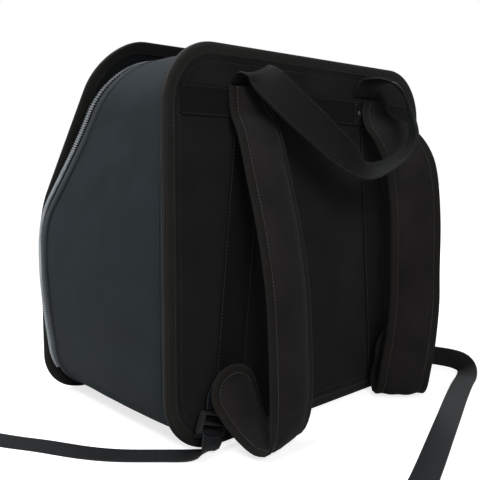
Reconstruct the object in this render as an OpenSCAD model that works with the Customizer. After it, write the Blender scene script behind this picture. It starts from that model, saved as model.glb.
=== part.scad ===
// Padded backpack case for a small accordion.
// +X is to the right when looking at the shoulder straps, +Y runs from the straps to the lid, +Z is up.
// The origin is the middle of the back panel's lower edge, on the floor. Millimetres.

/* [Back panel] */
// Width of the back panel over its bound edge
panel_w = 386; // [360:1:420]
// Height of the back panel over its bound edge
panel_h = 380; // [355:1:415]
// Corner radius of the back panel
panel_corner_r = 58; // [54:1:70]
// Thickness of the foam and cloth inside the bound edge
panel_edge_t = 6; // [4:0.5:9]
// Thickness of one layer of edge tape
tape_t = 1; // [0.6:0.1:1.6]
// Width of the edge tape on the face of a panel
binding_w = 12; // [8:0.5:16]
// Thickness of the stiffening boards
board_t = 3; // [2:0.5:4]
// Thickness of the inner lining cloth
lining_t = 1.5; // [0.8:0.1:2]

/* [Gusset] */
// Depth of the case at the base, from the back panel's face to the lid's face
base_depth = 246; // [220:1:280]
// How far the back panel stands proud of the gusset at the sides
side_flange = 9; // [7:0.5:12]
// How far the back panel stands proud of the gusset at the top
top_flange = 9; // [7:0.5:12]
// Height of the gusset's underside above the floor, and of the lid's fabric hinge
low_flange = 6; // [5:0.5:7]
// Outer corner radius of the gusset
gusset_corner_r = 50; // [46:1:52]
// Thickness of the padded gusset wall
gusset_t = 5; // [3:0.5:7]
// How far each side of the gusset swells out at its front edge
side_bulge = 14; // [0:1:18]
// Height at which the swelling is greatest
bulge_z = 160; // [145:1:175]
// Half the height over which the sides swell
bulge_reach = 168; // [140:1:180]
// Width of the tape that binds the gusset's front edge
gusset_tape_w = 8; // [5:0.5:10]

/* [Lid] */
// How far the lid stands proud of the gusset at the sides
lid_side_flange = 9; // [7:0.5:12]
// How far the lid reaches above the gusset's top
lid_top_flange = 19; // [14:0.5:24]
// Corner radius of the lid
lid_corner_r = 47; // [40:1:56]
// Lean of the upper part of the lid, from upright
lid_lean = 40; // [30:1:42]
// Height at which the lid's upright and leaning faces would meet
lid_bend_z = 215; // [200:1:230]
// Radius of the bend in the lid's face
lid_bend_r = 90; // [60:1:110]
// Thickness of the foam and cloth inside the lid's bound edge
lid_edge_t = 4; // [3:0.5:4]
// Height at which the lid's board starts
lid_board_z = 20; // [18:1:26]
// How far the lid's board is set in from the gusset's outer surface
lid_board_inset = 14; // [12:1:20]

/* [Zipper] */
// Width of the gap that the zipper bridges, from the lid's back face to the gusset's front edge
zipper_gap = 13; // [12:0.5:15]
// Width of one row of coil
coil_w = 2.7; // [2:0.1:3]
// Height of the coil above its tape
coil_h = 2.4; // [2:0.1:2.6]
// Gap between the two rows of coil
coil_gap = 1; // [0.8:0.1:1.2]
// Depth of the zipper tape below the gusset's surface
tape_inset = 4; // [3.5:0.1:4.5]
// Height above the floor at which the zipper ends at each side
zipper_end_z = 30; // [24:1:40]
// Length of a stop on the end of the coil
stop_h = 5; // [3:0.5:8]
// Length of a slider
slider_len = 15; // [12:0.5:18]
// Width of a slider
slider_w = 8.8; // [8.6:0.1:9]
// Place of the left slider along the top
left_slider_x = 40; // [20:1:60]
// Distance between the two sliders
slider_spacing = 17; // [16:1:30]
// Length of a pull tab
pull_len = 32; // [20:1:40]
// Width of a pull tab
pull_w = 8; // [6:0.5:9]
// Thickness of a pull tab
pull_t = 1.6; // [1.2:0.1:2]

/* [Webbing] */
// Thickness of all webbing
webbing_t = 1.6; // [1.2:0.1:2.2]
// Height of the middle of the band across the back panel
band_z = 327; // [315:1:332]
// Width of the band across the back panel
band_w = 28; // [20:1:34]
// Gap between the ends of the back panel's webbing and its bound edge
webbing_end_gap = 6; // [5:0.5:10]
// Width of the two webbings that run down the back panel
back_webbing_w = 38; // [30:1:45]
// Distance of the back webbings from the middle, at the band
back_webbing_top_x = 95; // [85:1:100]
// Distance of the back webbings from the middle, at the bottom
back_webbing_low_x = 123; // [110:1:128]
// Width of the carry handle's webbing
handle_w = 38; // [30:1:40]
// Distance of the rivets from the middle
rivet_x = 74; // [70:1:76]
// Diameter of a rivet's head
rivet_d = 8; // [6:0.5:10]
// Height of a rivet's head
rivet_head_h = 1.4; // [1:0.1:2]
// Height above the floor of the retaining strap inside the case
retaining_z = 190; // [150:1:230]
// How far the ends of the retaining strap are set in from the gusset's outer surface
retaining_inset = 30; // [20:1:60]
// Length over which the retaining strap closes on itself
retaining_overlap = 90; // [60:1:120]
// Width of the adjusting webbing at the foot of each strap
adjuster_w = 25; // [20:1:26]

/* [Shoulder straps] */
// Width of a shoulder strap over its bound edges
strap_w = 58; // [50:1:64]
// Width of a shoulder strap at its seam, where its inner edge is cut back
strap_seam_w = 43; // [38:1:50]
// Length over which a strap widens below its seam
strap_taper_h = 27; // [20:1:35]
// Thickness of a shoulder strap at its middle
strap_t = 12; // [8:0.5:13]
// Thickness of a strap's bound edge
strap_edge_t = 4; // [3:0.5:5]
// Length below its seam over which a strap is sewn flat
strap_flat_h = 26; // [15:1:40]
// Width of the tape on each edge of a strap
strap_binding_w = 10; // [7:0.5:12]
// Distance of a strap's seam from the middle of the back panel
strap_seam_x = 94; // [88:1:98]

/* [Ladder locks] */
// Distance of a lock from the middle of the back panel
lock_x = 148; // [145:1:150]
// Height of the middle of a lock above the floor
lock_z = 29; // [28:1:30]
// Distance of a lock's middle from the back panel's face
lock_out = 10; // [9.5:0.1:10.5]
// Height of a lock
lock_h = 22; // [20:1:23]
// Thickness of a lock
lock_t = 5; // [4:0.5:5.5]
// Thickness of a lock's bars and sides
lock_bar = 3.5; // [3:0.5:4]
// Tilt of a lock in the plane of the back panel
lock_turn = 20; // [10:1:25]

/* [Hidden] */

$fn = 48;
// Gap between cloth layers that lie on each other
layer_gap = 0.2;
// Clearance between pieces that move past each other
run_gap = 0.3;
// Clearance round the back panel's board, and round its lining
board_clear = 2;
lining_clear = 1;

// Places along Y
bound_t = panel_edge_t + 2 * tape_t;
back_y = -bound_t / 2;
front_y = back_y + base_depth;
lid_bound_t = lid_edge_t + 2 * tape_t;
gusset_back_y = back_y + bound_t;
hinge_y = front_y - lid_bound_t;
board_back_y = back_y + tape_t + panel_edge_t;
inner_back_y = board_back_y + board_t + lining_t;

// Half width, underside and top of the gusset's outer surface
gusset_half_w = panel_w / 2 - side_flange;
gusset_top_z = panel_h - top_flange;
gusset_edge_d = lid_bound_t + zipper_gap;
cavity_inset = gusset_t + layer_gap + lining_t + layer_gap;
gusset_stations = 6;

// Width and height of the lid over its bound edge
lid_w = 2 * (gusset_half_w + lid_side_flange);
lid_h = gusset_top_z + lid_top_flange;

// Middle of the zipper chain, measured in from the lid's face
chain_d = lid_bound_t + zipper_gap / 2;
coil_inset = tape_inset - coil_h;
tape_d = coil_gap / 2 + 0.5;
slider_z = gusset_top_z - tape_inset;

// Centre of the lid's bend
bend_c = [front_y - lid_bend_r, lid_bend_z - lid_bend_r * tan(lid_lean / 2)];

band_top_z = band_z + band_w / 2;
band_low_z = band_z - band_w / 2;
seam_z = band_top_z + tape_t;

// Routes of the soft pieces. Each point is [x, distance out from the back panel's face, height],
// then the direction of the piece's width, as [x, out, height].
left_strap_route = [
    [[0, 4.4, seam_z], [1, 0, 0]],
    [[0, 4.6, seam_z - 13], [1, 0, 0]],
    [[0, 7, seam_z - 27], [1, 0, 0]],
    [[1, 15, seam_z - 44], [1, 0, 0]],
    [[2, 29, seam_z - 92], [1, 0, 0]],
    [[4, 41, seam_z - 140], [1, 0, 0]],
    [[5, 50, 150], [1, 0, 0]],
    [[5, 54, 100], [1, 0, 0]],
    [[5, 56, 55], [1, 0, 0]],
    [[3, 56, 30], [1, -0.05, 0]],
    [[-1, 53, 15], [1, -0.15, 0]],
    [[-6, 46, 8], [1, -0.3, 0]],
    [[-12, 37, 10], [1, -0.4, 0]],
    [[-19, 29, 21], [1, -0.35, 0.05]],
    [[-26, 22, 38], [1, -0.2, 0.15]],
    [[-32, 17, 56], [1, -0.05, 0.2]],
    [[-36, 15, 70], [1, 0, 0.2]],
    [[-39, 14, 82], [1, 0, 0.2]]
];
right_strap_route = [
    [[0, 4.4, seam_z], [1, 0, 0]],
    [[0, 5, seam_z - 11], [1, 0.02, 0]],
    [[3, 12, seam_z - 24], [1, 0.14, 0]],
    [[11, 25, seam_z - 40], [1, 0.38, 0]],
    [[19, 37, seam_z - 60], [1, 0.65, 0]],
    [[24, 44, seam_z - 85], [1, 0.8, 0]],
    [[28, 48, seam_z - 137], [1, 0.8, 0]],
    [[27, 50, 150], [1, 0.8, 0]],
    [[25, 52, 110], [1, 0.85, 0]],
    [[19, 52, 65], [1, 0.9, 0]],
    [[14, 50, 34], [1, 0.95, 0]],
    [[14, 48, 20], [1, 0.95, 0]],
    [[15, 44, 10.5], [1, 0.93, 0]],
    [[18, 38, 7.5], [1, 0.92, 0]],
    [[21, 32, 10.5], [1, 0.88, 0]],
    [[24, 29, 20], [1, 0.8, 0]],
    [[27, 29, 36], [1, 0.6, 0]],
    [[29, 28, 54], [1, 0.45, 0]],
    [[30, 26, 70], [1, 0.4, 0]],
    [[30, 25, 82], [1, 0.35, 0]]
];
handle_route = [
    [[-rivet_x - 24, 1.2, band_top_z + 4], [1, 0, 0]],
    [[-rivet_x - 24, 4, band_top_z + 11], [1, 0, 0.05]],
    [[-95, 13, band_top_z + 14], [0.9, 0, 0.3]],
    [[-86, 24, band_top_z + 3], [0.66, 0, 0.64]],
    [[-68, 32, band_top_z - 14], [0.6, 0, 0.8]],
    [[-40, 38, band_top_z - 34], [0.56, 0, 0.83]],
    [[-12, 44, band_top_z - 55], [0.56, -0.1, 0.82]],
    [[12, 49, band_top_z - 69], [0.6, -0.35, 0.72]],
    [[32, 54, band_top_z - 74], [0.62, -0.7, 0.35]],
    [[55, 62, band_top_z - 66], [0.6, -0.76, 0.2]],
    [[76, 66, band_top_z - 47], [0.66, -0.72, 0.1]],
    [[87, 59, band_top_z - 22], [0.74, -0.65, 0.05]],
    [[91, 46, band_top_z + 5], [0.85, -0.5, 0]],
    [[89, 28, band_top_z + 20], [0.96, -0.25, 0]],
    [[85, 11, band_top_z + 19], [1, 0, 0]],
    [[rivet_x + 8, 4, band_top_z + 11], [1, 0, 0]],
    [[rivet_x + 8, 1.2, band_top_z + 4], [1, 0, 0]]
];
left_tail_route = [
    [[-152, 15.5, 19], [0.94, 0, -0.34]],
    [[-156, 16, 11], [0.94, -0.05, -0.2]],
    [[-161, 12, 5], [0.88, -0.35, -0.06]],
    [[-170, 1, 1.6], [0.8, -0.6, 0]],
    [[-189, -17, 1], [0.73, -0.68, 0]],
    [[-217, -43, 1], [0.75, -0.66, 0]],
    [[-238, -70, 1], [0.84, -0.54, 0]],
    [[-261, -110, 1], [0.86, -0.5, 0]],
    [[-281, -142, 1], [0.86, -0.5, 0]],
    [[-300, -180, 1], [0.92, -0.38, 0]],
    [[-312, -225, 1], [0.98, -0.18, 0]],
    [[-315, -265, 1], [1, -0.05, 0]]
];
right_tail_route = [
    [[148, 18, 15], [0.94, 0, 0.34]],
    [[157, 19, 12.6], [0.92, 0.1, 0.38]],
    [[168, 16, 14], [0.55, 0.1, 0.85]],
    [[181, 6, 14.2], [0.1, 0, 1]],
    [[202, -6, 14.2], [0, 0, 1]],
    [[225, -11, 14.2], [0, 0, 1]],
    [[240, -6, 14.2], [0, 0, 1]],
    [[248, 11, 14.2], [0, 0, 1]],
    [[252, 29, 13.8], [0.1, 0.05, 0.98]],
    [[253, 42, 11.4], [0.4, 0.3, 0.82]],
    [[247, 52, 6.4], [0.5, 0.7, 0.42]],
    [[231, 60, 1.6], [0.4, 0.9, 0.05]],
    [[200, 71, 1], [0.38, 0.92, 0]],
    [[150, 91, 1], [0.39, 0.92, 0]],
    [[100, 112, 1], [0.39, 0.92, 0]],
    [[40, 137, 1], [0.39, 0.92, 0]],
    [[-20, 162, 1], [0.39, 0.92, 0]],
    [[-80, 186, 1], [0.34, 0.94, 0]]
];
left_adjuster_route = [
    [[-130, 13, 75], [0.9, 0, -0.15]],
    [[-134, 9, 65], [0.92, 0, -0.25]],
    [[-138, 7, 55], [0.93, 0, -0.3]],
    [[-141, 8, 47], [0.94, 0, -0.34]],
    [[-142, 9, 42], [0.94, 0, -0.34]]
];
right_adjuster_route = [
    [[122, 24, 77], [0.95, 0.2, 0.15]],
    [[127, 18, 68], [0.95, 0.1, 0.25]],
    [[134, 12, 57], [0.93, 0, 0.3]],
    [[139, 9, 48], [0.94, 0, 0.34]],
    [[142, 9, 42], [0.94, 0, 0.34]]
];

// A point of a route, or its width direction, in the object's own axes
function placed(p) = [p[0], back_y - p[1], p[2]];
function turned(v) = [v[0], -v[1], v[2]] / norm(v);

// Smooth curve through four values, at a share t of the way from b to c
function smooth(a, b, c, d, t) =
    0.5 * ((2 * b) + (c - a) * t + (2 * a - 5 * b + 4 * c - d) * t * t + (3 * b - a - 3 * c + d) * t * t * t);

// Points along a route, with steps per stretch. Column 0 is the place and column 1 the width direction.
function along(route, column, steps) = [
    for (i = [0:len(route) - 2], k = [0:steps - 1])
        smooth(
            route[max(i - 1, 0)][column], route[i][column], route[i + 1][column],
            route[min(i + 2, len(route) - 1)][column], k / steps
        ),
    route[len(route) - 1][column]
];

// Direction of travel at each point
function headings(points) = [
    for (i = [0:len(points) - 1])
        let (d = points[min(i + 1, len(points) - 1)] - points[max(i - 1, 0)]) d / norm(d)
];

// Distance from each point to the last one, along the points
function to_end(points, i) =
    i >= len(points) - 1 ? 0 : norm(points[i + 1] - points[i]) + to_end(points, i + 1);

// Width direction made square to the direction of travel
function squared(w, heading) = let (v = w - (w * heading) * heading) v / norm(v);

// Outline of the gusset's section, set in from its outer surface, with its sides swollen
function swell(z) = abs(z - bulge_z) < bulge_reach ? pow(cos(90 * (z - bulge_z) / bulge_reach), 2) : 0;
function gusset_outline(inset, bulge) =
    let (
        r = gusset_corner_r - inset,
        half = gusset_half_w - gusset_corner_r,
        low = low_flange + gusset_corner_r,
        high = gusset_top_z - gusset_corner_r,
        side_steps = 7,
        turn = [0:15:90]
    )
    [
        for (p = [
            for (a = turn) [half + r * sin(a), low - r * cos(a)],
            for (k = [1:side_steps - 1]) [half + r, low + (high - low) * k / side_steps],
            for (a = turn) [half + r * cos(a), high + r * sin(a)],
            for (a = turn) [-half - r * sin(a), high + r * cos(a)],
            for (k = [1:side_steps - 1]) [-half - r, high - (high - low) * k / side_steps],
            for (a = turn) [-half - r * cos(a), low - r * sin(a)]
        ])
            [p[0] * (1 + bulge * swell(p[1]) / gusset_half_w), p[1]]
    ];

// Place along Y, at a height, of the surface set in by d from the lid's face
function lid_y(z, d) =
    let (r = lid_bend_r - d, end_z = bend_c[1] + r * sin(lid_lean))
    z <= bend_c[1] ? front_y - d :
    z <= end_z ? bend_c[0] + sqrt(r * r - pow(z - bend_c[1], 2)) :
    bend_c[0] + r * cos(lid_lean) - (z - end_z) * tan(lid_lean);

// Side view of that surface, from the floor up to a height
function lid_line(d, top) =
    let (r = lid_bend_r - d)
    [
        [front_y - d, 0],
        for (k = [0:8]) bend_c + r * [cos(lid_lean * k / 8), sin(lid_lean * k / 8)],
        [lid_y(top, d), top]
    ];

// Flat outline with round corners, standing on the X axis
module round_outline(w, h, r) {
    union() {
        translate([-w / 2 + r, 0]) square([w - 2 * r, h]);
        translate([-w / 2, r]) square([w, h - 2 * r]);
        for (x = [-w / 2 + r, w / 2 - r], y = [r, h - r]) translate([x, y]) circle(r);
    }
}

// Upright plate between two places along Y
module plate(y0, y1) {
    translate([0, y1, 0]) rotate([90, 0, 0]) linear_extrude(y1 - y0) children();
}

// Slab between two depths below the lid's face
module lid_slab(d0, d1) {
    top = lid_h + binding_w;
    near = lid_line(d0, top);
    far = lid_line(d1, top);
    translate([-lid_w, 0, 0]) rotate([90, 0, 90]) linear_extrude(2 * lid_w)
        polygon([for (p = near) p, for (k = [len(far) - 1:-1:0]) far[k]]);
}

// Solid skinned over rings of points, closed at both ends
module skin(rings) {
    n = len(rings[0]);
    m = len(rings);
    polyhedron(
        points = [for (ring = rings, p = ring) p],
        faces = [
            for (k = [0:n / 2 - 2], half = [0, 1])
                half == 0 ? [k, k + 1, n - 2 - k] : [k, n - 2 - k, n - 1 - k],
            for (k = [0:n / 2 - 2], half = [0, 1])
                let (e = (m - 1) * n)
                half == 0 ? [e + k, e + n - 2 - k, e + k + 1] : [e + k, e + n - 1 - k, e + n - 2 - k],
            for (j = [0:m - 2], i = [0:n - 1], half = [0, 1])
                let (a = j * n + i, b = j * n + (i + 1) % n, c = b + n, d = a + n)
                half == 0 ? [a, d, c] : [a, c, b]
        ],
        convexity = 8
    );
}

// Tube with a wall, skinned over outer and inner rings, open at both ends
module skin_tube(outer, inner) {
    n = len(outer[0]);
    m = len(outer);
    shift = n * m;
    polyhedron(
        points = [for (ring = outer, p = ring) p, for (ring = inner, p = ring) p],
        faces = [
            for (j = [0:m - 2], i = [0:n - 1], half = [0, 1])
                let (a = j * n + i, b = j * n + (i + 1) % n, c = b + n, d = a + n)
                half == 0 ? [a, d, c] : [a, c, b],
            for (j = [0:m - 2], i = [0:n - 1], half = [0, 1])
                let (a = shift + j * n + i, b = shift + j * n + (i + 1) % n, c = b + n, d = a + n)
                half == 0 ? [a, c, d] : [a, b, c],
            for (i = [0:n - 1], half = [0, 1])
                let (a = i, b = (i + 1) % n, c = b + shift, d = a + shift)
                half == 0 ? [a, b, c] : [a, c, d],
            for (i = [0:n - 1], half = [0, 1])
                let (e = (m - 1) * n, a = e + i, b = e + (i + 1) % n, c = b + shift, d = a + shift)
                half == 0 ? [a, c, b] : [a, d, c]
        ],
        convexity = 8
    );
}

// Flat webbing along a route
module webbing(route, w, steps = 2) {
    points = [for (p = along(route, 0, steps)) placed(p)];
    widths = [for (v = along(route, 1, steps)) turned(v)];
    travel = headings(points);
    skin([
        for (i = [0:len(points) - 1])
            let (
                u = squared(widths[i], travel[i]) * w / 2,
                n = cross(travel[i], u) / norm(u) * webbing_t / 2
            )
            [points[i] - u - n, points[i] + u - n, points[i] + u + n, points[i] - u + n]
    ]);
}

// Half width of a tongue-shaped piece at a distance from its tip
function tongue(half, s) = s >= half ? half : sqrt(max(0, half * half - pow(half - s, 2)));

// Middle line of a strap, and its width directions made square to it
function strap_points(route) = [for (p = along(route, 0, 2)) placed(p)];
function strap_widths(route) =
    let (points = strap_points(route), travel = headings(points), widths = along(route, 1, 2))
    [for (i = [0:len(points) - 1]) squared(turned(widths[i]), travel[i])];

// Half thickness of the strap's middle: sewn flat at the seam, full below it, thin again at the tip
function plump(s, total) =
    let (from_seam = total - s, full = strap_t / 2, flat = strap_edge_t / 2, rise = 0.12, fall = 0.2)
    min(full, flat + max(0, from_seam - strap_flat_h) * rise, flat + max(0, s - strap_binding_w) * fall);

// How much narrower the inner side of a strap is at a distance below its seam
function seam_trim(below) = max(0, 1 - below / strap_taper_h) * (strap_w - strap_seam_w);

// Length by which a strap's pointed tip is cut short
tip_blunt = 1;

module strap_core(route, side_x) {
    inward = side_x > 0 ? -1 : 1;
    points = strap_points(route);
    widths = strap_widths(route);
    travel = headings(points);
    total = to_end(points, 0);
    half = strap_w / 2 - strap_binding_w;
    last = len(points) - 1;
    rings = [
        for (i = [0:last])
            let (
                s = to_end(points, i),
                b = tongue(half, s - strap_binding_w),
                trim = seam_trim(total - s) / 2,
                middle = points[i] - widths[i] * inward * trim,
                n = cross(travel[i], widths[i]),
                top = plump(s, total),
                edge = strap_edge_t / 2
            )
            if (s > strap_binding_w + tip_blunt)
                [
                    for (k = [-1, -0.6, 0, 0.6, 1])
                        middle + widths[i] * (b - trim) * k - n * (edge + (top - edge) * (1 - k * k)),
                    for (k = [1, 0.6, 0, -0.6, -1])
                        middle + widths[i] * (b - trim) * k + n * (edge + (top - edge) * (1 - k * k))
                ]
    ];
    translate([side_x, 0, 0]) skin(rings);
}

module strap_edges(route, side_x) {
    inward = side_x > 0 ? -1 : 1;
    points = strap_points(route);
    widths = strap_widths(route);
    travel = headings(points);
    total = to_end(points, 0);
    half = strap_w / 2;
    last = len(points) - 1;
    translate([side_x, 0, 0])
        for (side = [-1, 1])
            skin([
                for (i = [0:last])
                    let (
                        s = max(to_end(points, i), tip_blunt),
                        trim = side == inward ? seam_trim(total - s) : 0,
                        b = tongue(half - strap_binding_w, max(0, s - strap_binding_w)) - trim,
                        a = tongue(half, s) - trim,
                        n = cross(travel[i], widths[i]) * strap_edge_t / 2,
                        inner = points[i] + widths[i] * side * b,
                        outer = points[i] + widths[i] * side * a
                    )
                    side > 0
                        ? [inner - n, outer - n, outer + n, inner + n]
                        : [outer - n, inner - n, inner + n, outer + n]
            ]);
}

// Back panel

module back_cover() {
    color([0.13, 0.12, 0.13])
        translate([0, 0, tape_t])
            plate(back_y + tape_t, board_back_y)
                round_outline(panel_w - 2 * tape_t, panel_h - 2 * tape_t, panel_corner_r - tape_t);
}

module back_binding() {
    color([0.14, 0.13, 0.12])
        difference() {
            plate(back_y, gusset_back_y)
                difference() {
                    round_outline(panel_w, panel_h, panel_corner_r);
                    translate([0, binding_w])
                        round_outline(
                            panel_w - 2 * binding_w, panel_h - 2 * binding_w, panel_corner_r - binding_w
                        );
                }
            translate([0, 0, tape_t])
                plate(back_y + tape_t, board_back_y)
                    round_outline(panel_w - 2 * tape_t, panel_h - 2 * tape_t, panel_corner_r - tape_t);
        }
}

// Outline of the stiffener and lining that lie inside the gusset
module inner_outline(inset) {
    translate([0, low_flange + inset])
        round_outline(
            2 * (gusset_half_w - inset), gusset_top_z - low_flange - 2 * inset, gusset_corner_r - inset
        );
}

module back_board() {
    color([0.25, 0.25, 0.26])
        plate(board_back_y, board_back_y + board_t) inner_outline(cavity_inset + board_clear);
}

module back_lining() {
    color([0.10, 0.10, 0.11])
        plate(board_back_y + board_t, inner_back_y) inner_outline(cavity_inset + lining_clear);
}

// Gusset

// Rings of the gusset from the back panel to its front edge
function gusset_rings(inset, stations) = [
    for (j = [0:stations])
        let (t = j / stations)
        [
            for (p = gusset_outline(inset, side_bulge * t))
                [p[0], gusset_back_y + (lid_y(p[1], gusset_edge_d) - gusset_back_y) * t, p[1]]
        ]
];

module gusset() {
    color([0.12, 0.14, 0.15])
        skin_tube(gusset_rings(0, gusset_stations), gusset_rings(gusset_t, gusset_stations));
}

module gusset_lining() {
    color([0.10, 0.10, 0.11])
        skin_tube(
            gusset_rings(gusset_t + layer_gap, gusset_stations),
            gusset_rings(gusset_t + layer_gap + lining_t, gusset_stations)
        );
}

// Part of the ring round the case's mouth, between two insets and two depths below the lid's face
module mouth_ring(inset0, inset1, d0, d1) {
    intersection() {
        plate(gusset_back_y, front_y)
            difference() {
                polygon(gusset_outline(inset0, side_bulge));
                polygon(gusset_outline(inset1, side_bulge));
            }
        lid_slab(d0, d1);
    }
}

// The same, from the zipper's ends upward
module zipper_ring(inset0, inset1, d0, d1) {
    intersection() {
        mouth_ring(inset0, inset1, d0, d1);
        translate([-lid_w, gusset_back_y, zipper_end_z]) cube([2 * lid_w, base_depth, lid_h]);
    }
}

module gusset_edge_tape() {
    color([0.16, 0.18, 0.19])
        mouth_ring(-tape_t - layer_gap, -layer_gap, gusset_edge_d, gusset_edge_d + gusset_tape_w);
}

module base_board() {
    half = gusset_half_w - gusset_corner_r;
    start_y = inner_back_y + lining_clear;
    color([0.25, 0.25, 0.26])
        translate([-half, start_y, low_flange + cavity_inset])
            cube([2 * half, hinge_y - zipper_gap - lining_clear - start_y, board_t]);
}

module lid_hinge_strip() {
    half = gusset_half_w - gusset_corner_r;
    color([0.12, 0.12, 0.13])
        translate([-half, hinge_y - zipper_gap, low_flange + run_gap])
            cube([2 * half, zipper_gap - run_gap, tape_t]);
}

// Zipper

module zipper_tape_case() {
    color([0.08, 0.08, 0.09])
        zipper_ring(tape_inset, tape_inset + tape_t, chain_d + tape_d, gusset_edge_d);
}

module zipper_tape_lid() {
    color([0.08, 0.08, 0.09])
        zipper_ring(tape_inset, tape_inset + tape_t, lid_bound_t, chain_d - tape_d);
}

module zipper_coil_case() {
    color([0.20, 0.20, 0.21])
        zipper_ring(coil_inset, tape_inset, chain_d + coil_gap / 2, chain_d + coil_gap / 2 + coil_w);
}

module zipper_coil_lid() {
    color([0.20, 0.20, 0.21])
        zipper_ring(coil_inset, tape_inset, chain_d - coil_gap / 2 - coil_w, chain_d - coil_gap / 2);
}

// Half width of a surface set in from the gusset's front edge, at a height within its lower corners
function low_corner_x(z, inset) =
    let (r = gusset_corner_r - inset, rise = low_flange + gusset_corner_r - z)
    (gusset_half_w - gusset_corner_r + sqrt(r * r - rise * rise))
        * (1 + side_bulge * swell(z) / gusset_half_w);

// Stops clamped below the ends of the case's row of coil
module zipper_stops() {
    x = low_corner_x(zipper_end_z, coil_inset + coil_h / 2);
    y = lid_y(zipper_end_z, chain_d + coil_gap / 2 + coil_w);
    color([0.45, 0.45, 0.46])
        for (side = [-1, 1])
            translate([side * x - coil_h / 2, y, zipper_end_z - stop_h]) cube([coil_h, coil_w, stop_h]);
}

// Plates of a slider, and the pin along its travel that carries the pull
slider_plate_t = 1.5;
slider_upper_z = slider_z + coil_h + run_gap;
slider_lower_z = slider_z - tape_t - run_gap - slider_plate_t;
slider_web_len = 4;
post_t = 2;
pin_r = 0.9;
pin_gap = 0.06;
eye_r = 1.8;
eye_len = 5;
pin_z = slider_upper_z + slider_plate_t + eye_r + run_gap;
// The pin sits off the chain's middle, away from the lid
pin_offset = 1.6;
pin_y = lid_y(slider_z, chain_d) - pin_offset;

// Slider at a place along the top
module slider(x) {
    y = lid_y(slider_z, chain_d);
    web_d = coil_gap / 2 - run_gap;
    web_low = slider_lower_z + slider_plate_t / 2;
    web_high = slider_upper_z + slider_plate_t / 2;
    color([0.32, 0.32, 0.33])
        translate([x, 0, 0])
            union() {
                for (z = [slider_upper_z, slider_lower_z])
                    translate([-slider_len / 2, y - slider_w / 2, z])
                        cube([slider_len, slider_w, slider_plate_t]);
                translate([-slider_web_len / 2, 0, 0]) rotate([90, 0, 90]) linear_extrude(slider_web_len)
                    polygon([
                        [lid_y(web_low, chain_d + web_d), web_low],
                        [lid_y(web_low, chain_d - web_d), web_low],
                        [lid_y(web_high, chain_d - web_d), web_high],
                        [lid_y(web_high, chain_d + web_d), web_high]
                    ]);
                for (side = [-1, 1])
                    translate([side * (eye_len / 2 + run_gap + post_t / 2), pin_y, 0])
                        translate([-post_t / 2, -pin_r - run_gap, slider_upper_z + slider_plate_t / 2])
                            cube([
                                post_t, 2 * (pin_r + run_gap),
                                pin_z + pin_r - slider_upper_z - slider_plate_t / 2
                            ]);
                translate([-eye_len / 2 - run_gap - post_t / 2, pin_y, pin_z])
                    rotate([0, 90, 0]) cylinder(r = pin_r, h = eye_len + 2 * run_gap + post_t);
            }
}

// Pull tab that lies over the gusset, pointing away from the lid
module pull(x) {
    reach = pull_len - pull_w / 2;
    color([0.28, 0.28, 0.29])
        translate([x, pin_y, pin_z])
            difference() {
                union() {
                    translate([-eye_len / 2, 0, 0]) rotate([0, 90, 0]) cylinder(r = eye_r, h = eye_len);
                    translate([-eye_len / 2, -pull_w, -pull_t / 2]) cube([eye_len, pull_w, pull_t]);
                    translate([-pull_w / 2, -reach, -pull_t / 2]) cube([pull_w, reach - eye_len, pull_t]);
                    translate([0, -reach, -pull_t / 2]) cylinder(r = pull_w / 2, h = pull_t);
                }
                translate([-slider_len, 0, 0]) rotate([0, 90, 0])
                    cylinder(r = pin_r + pin_gap, h = 2 * slider_len);
                translate([0, -reach, -pull_t]) cylinder(r = pull_w / 4, h = 2 * pull_t);
            }
}

module left_slider() { slider(left_slider_x); }
module right_slider() { slider(left_slider_x + slider_spacing); }
module left_pull() { pull(left_slider_x); }
module right_pull() { pull(left_slider_x + slider_spacing); }

// Lid

// Roll of the lid's lower edge about the hinge, so that it turns clear of the floor
module rolled_edge(r) {
    intersection() {
        children();
        union() {
            translate([-lid_w, hinge_y, low_flange]) rotate([0, 90, 0]) cylinder(r = r, h = 2 * lid_w);
            translate([-lid_w, back_y, low_flange]) cube([2 * lid_w, 2 * base_depth, lid_h]);
        }
    }
}

module lid_plate(d0, d1) {
    intersection() {
        plate(back_y, front_y + 1) children();
        lid_slab(d0, d1);
    }
}

module lid_cover() {
    color([0.11, 0.11, 0.12])
        rolled_edge(low_flange - tape_t)
            lid_plate(tape_t, tape_t + lid_edge_t)
                translate([0, tape_t])
                    round_outline(lid_w - 2 * tape_t, lid_h - 2 * tape_t, lid_corner_r - tape_t);
}

module lid_binding() {
    hole_h = lid_h - binding_w - binding_w * cos(lid_lean);
    color([0.12, 0.12, 0.12])
        difference() {
            rolled_edge(low_flange)
                lid_plate(0, lid_bound_t)
                    difference() {
                        round_outline(lid_w, lid_h, lid_corner_r);
                        translate([0, binding_w])
                            round_outline(lid_w - 2 * binding_w, hole_h, lid_corner_r - binding_w);
                    }
            lid_cover();
        }
}

// Outline of the board and lining that lie inside the zipper
module lid_inner_outline(extra) {
    w = 2 * (gusset_half_w - lid_board_inset + extra);
    top = gusset_top_z - tape_inset - lid_board_inset / 2;
    r = gusset_corner_r - lid_board_inset + extra;
    translate([0, lid_board_z - extra]) round_outline(w, top - lid_board_z + 2 * extra, r);
}

module lid_board() {
    outer_d = tape_t + lid_edge_t;
    color([0.25, 0.25, 0.26]) lid_plate(outer_d, outer_d + board_t) lid_inner_outline(0);
}

module lid_lining() {
    inner_d = tape_t + lid_edge_t + board_t;
    color([0.10, 0.10, 0.11]) lid_plate(inner_d, inner_d + lining_t) lid_inner_outline(1);
}

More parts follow.
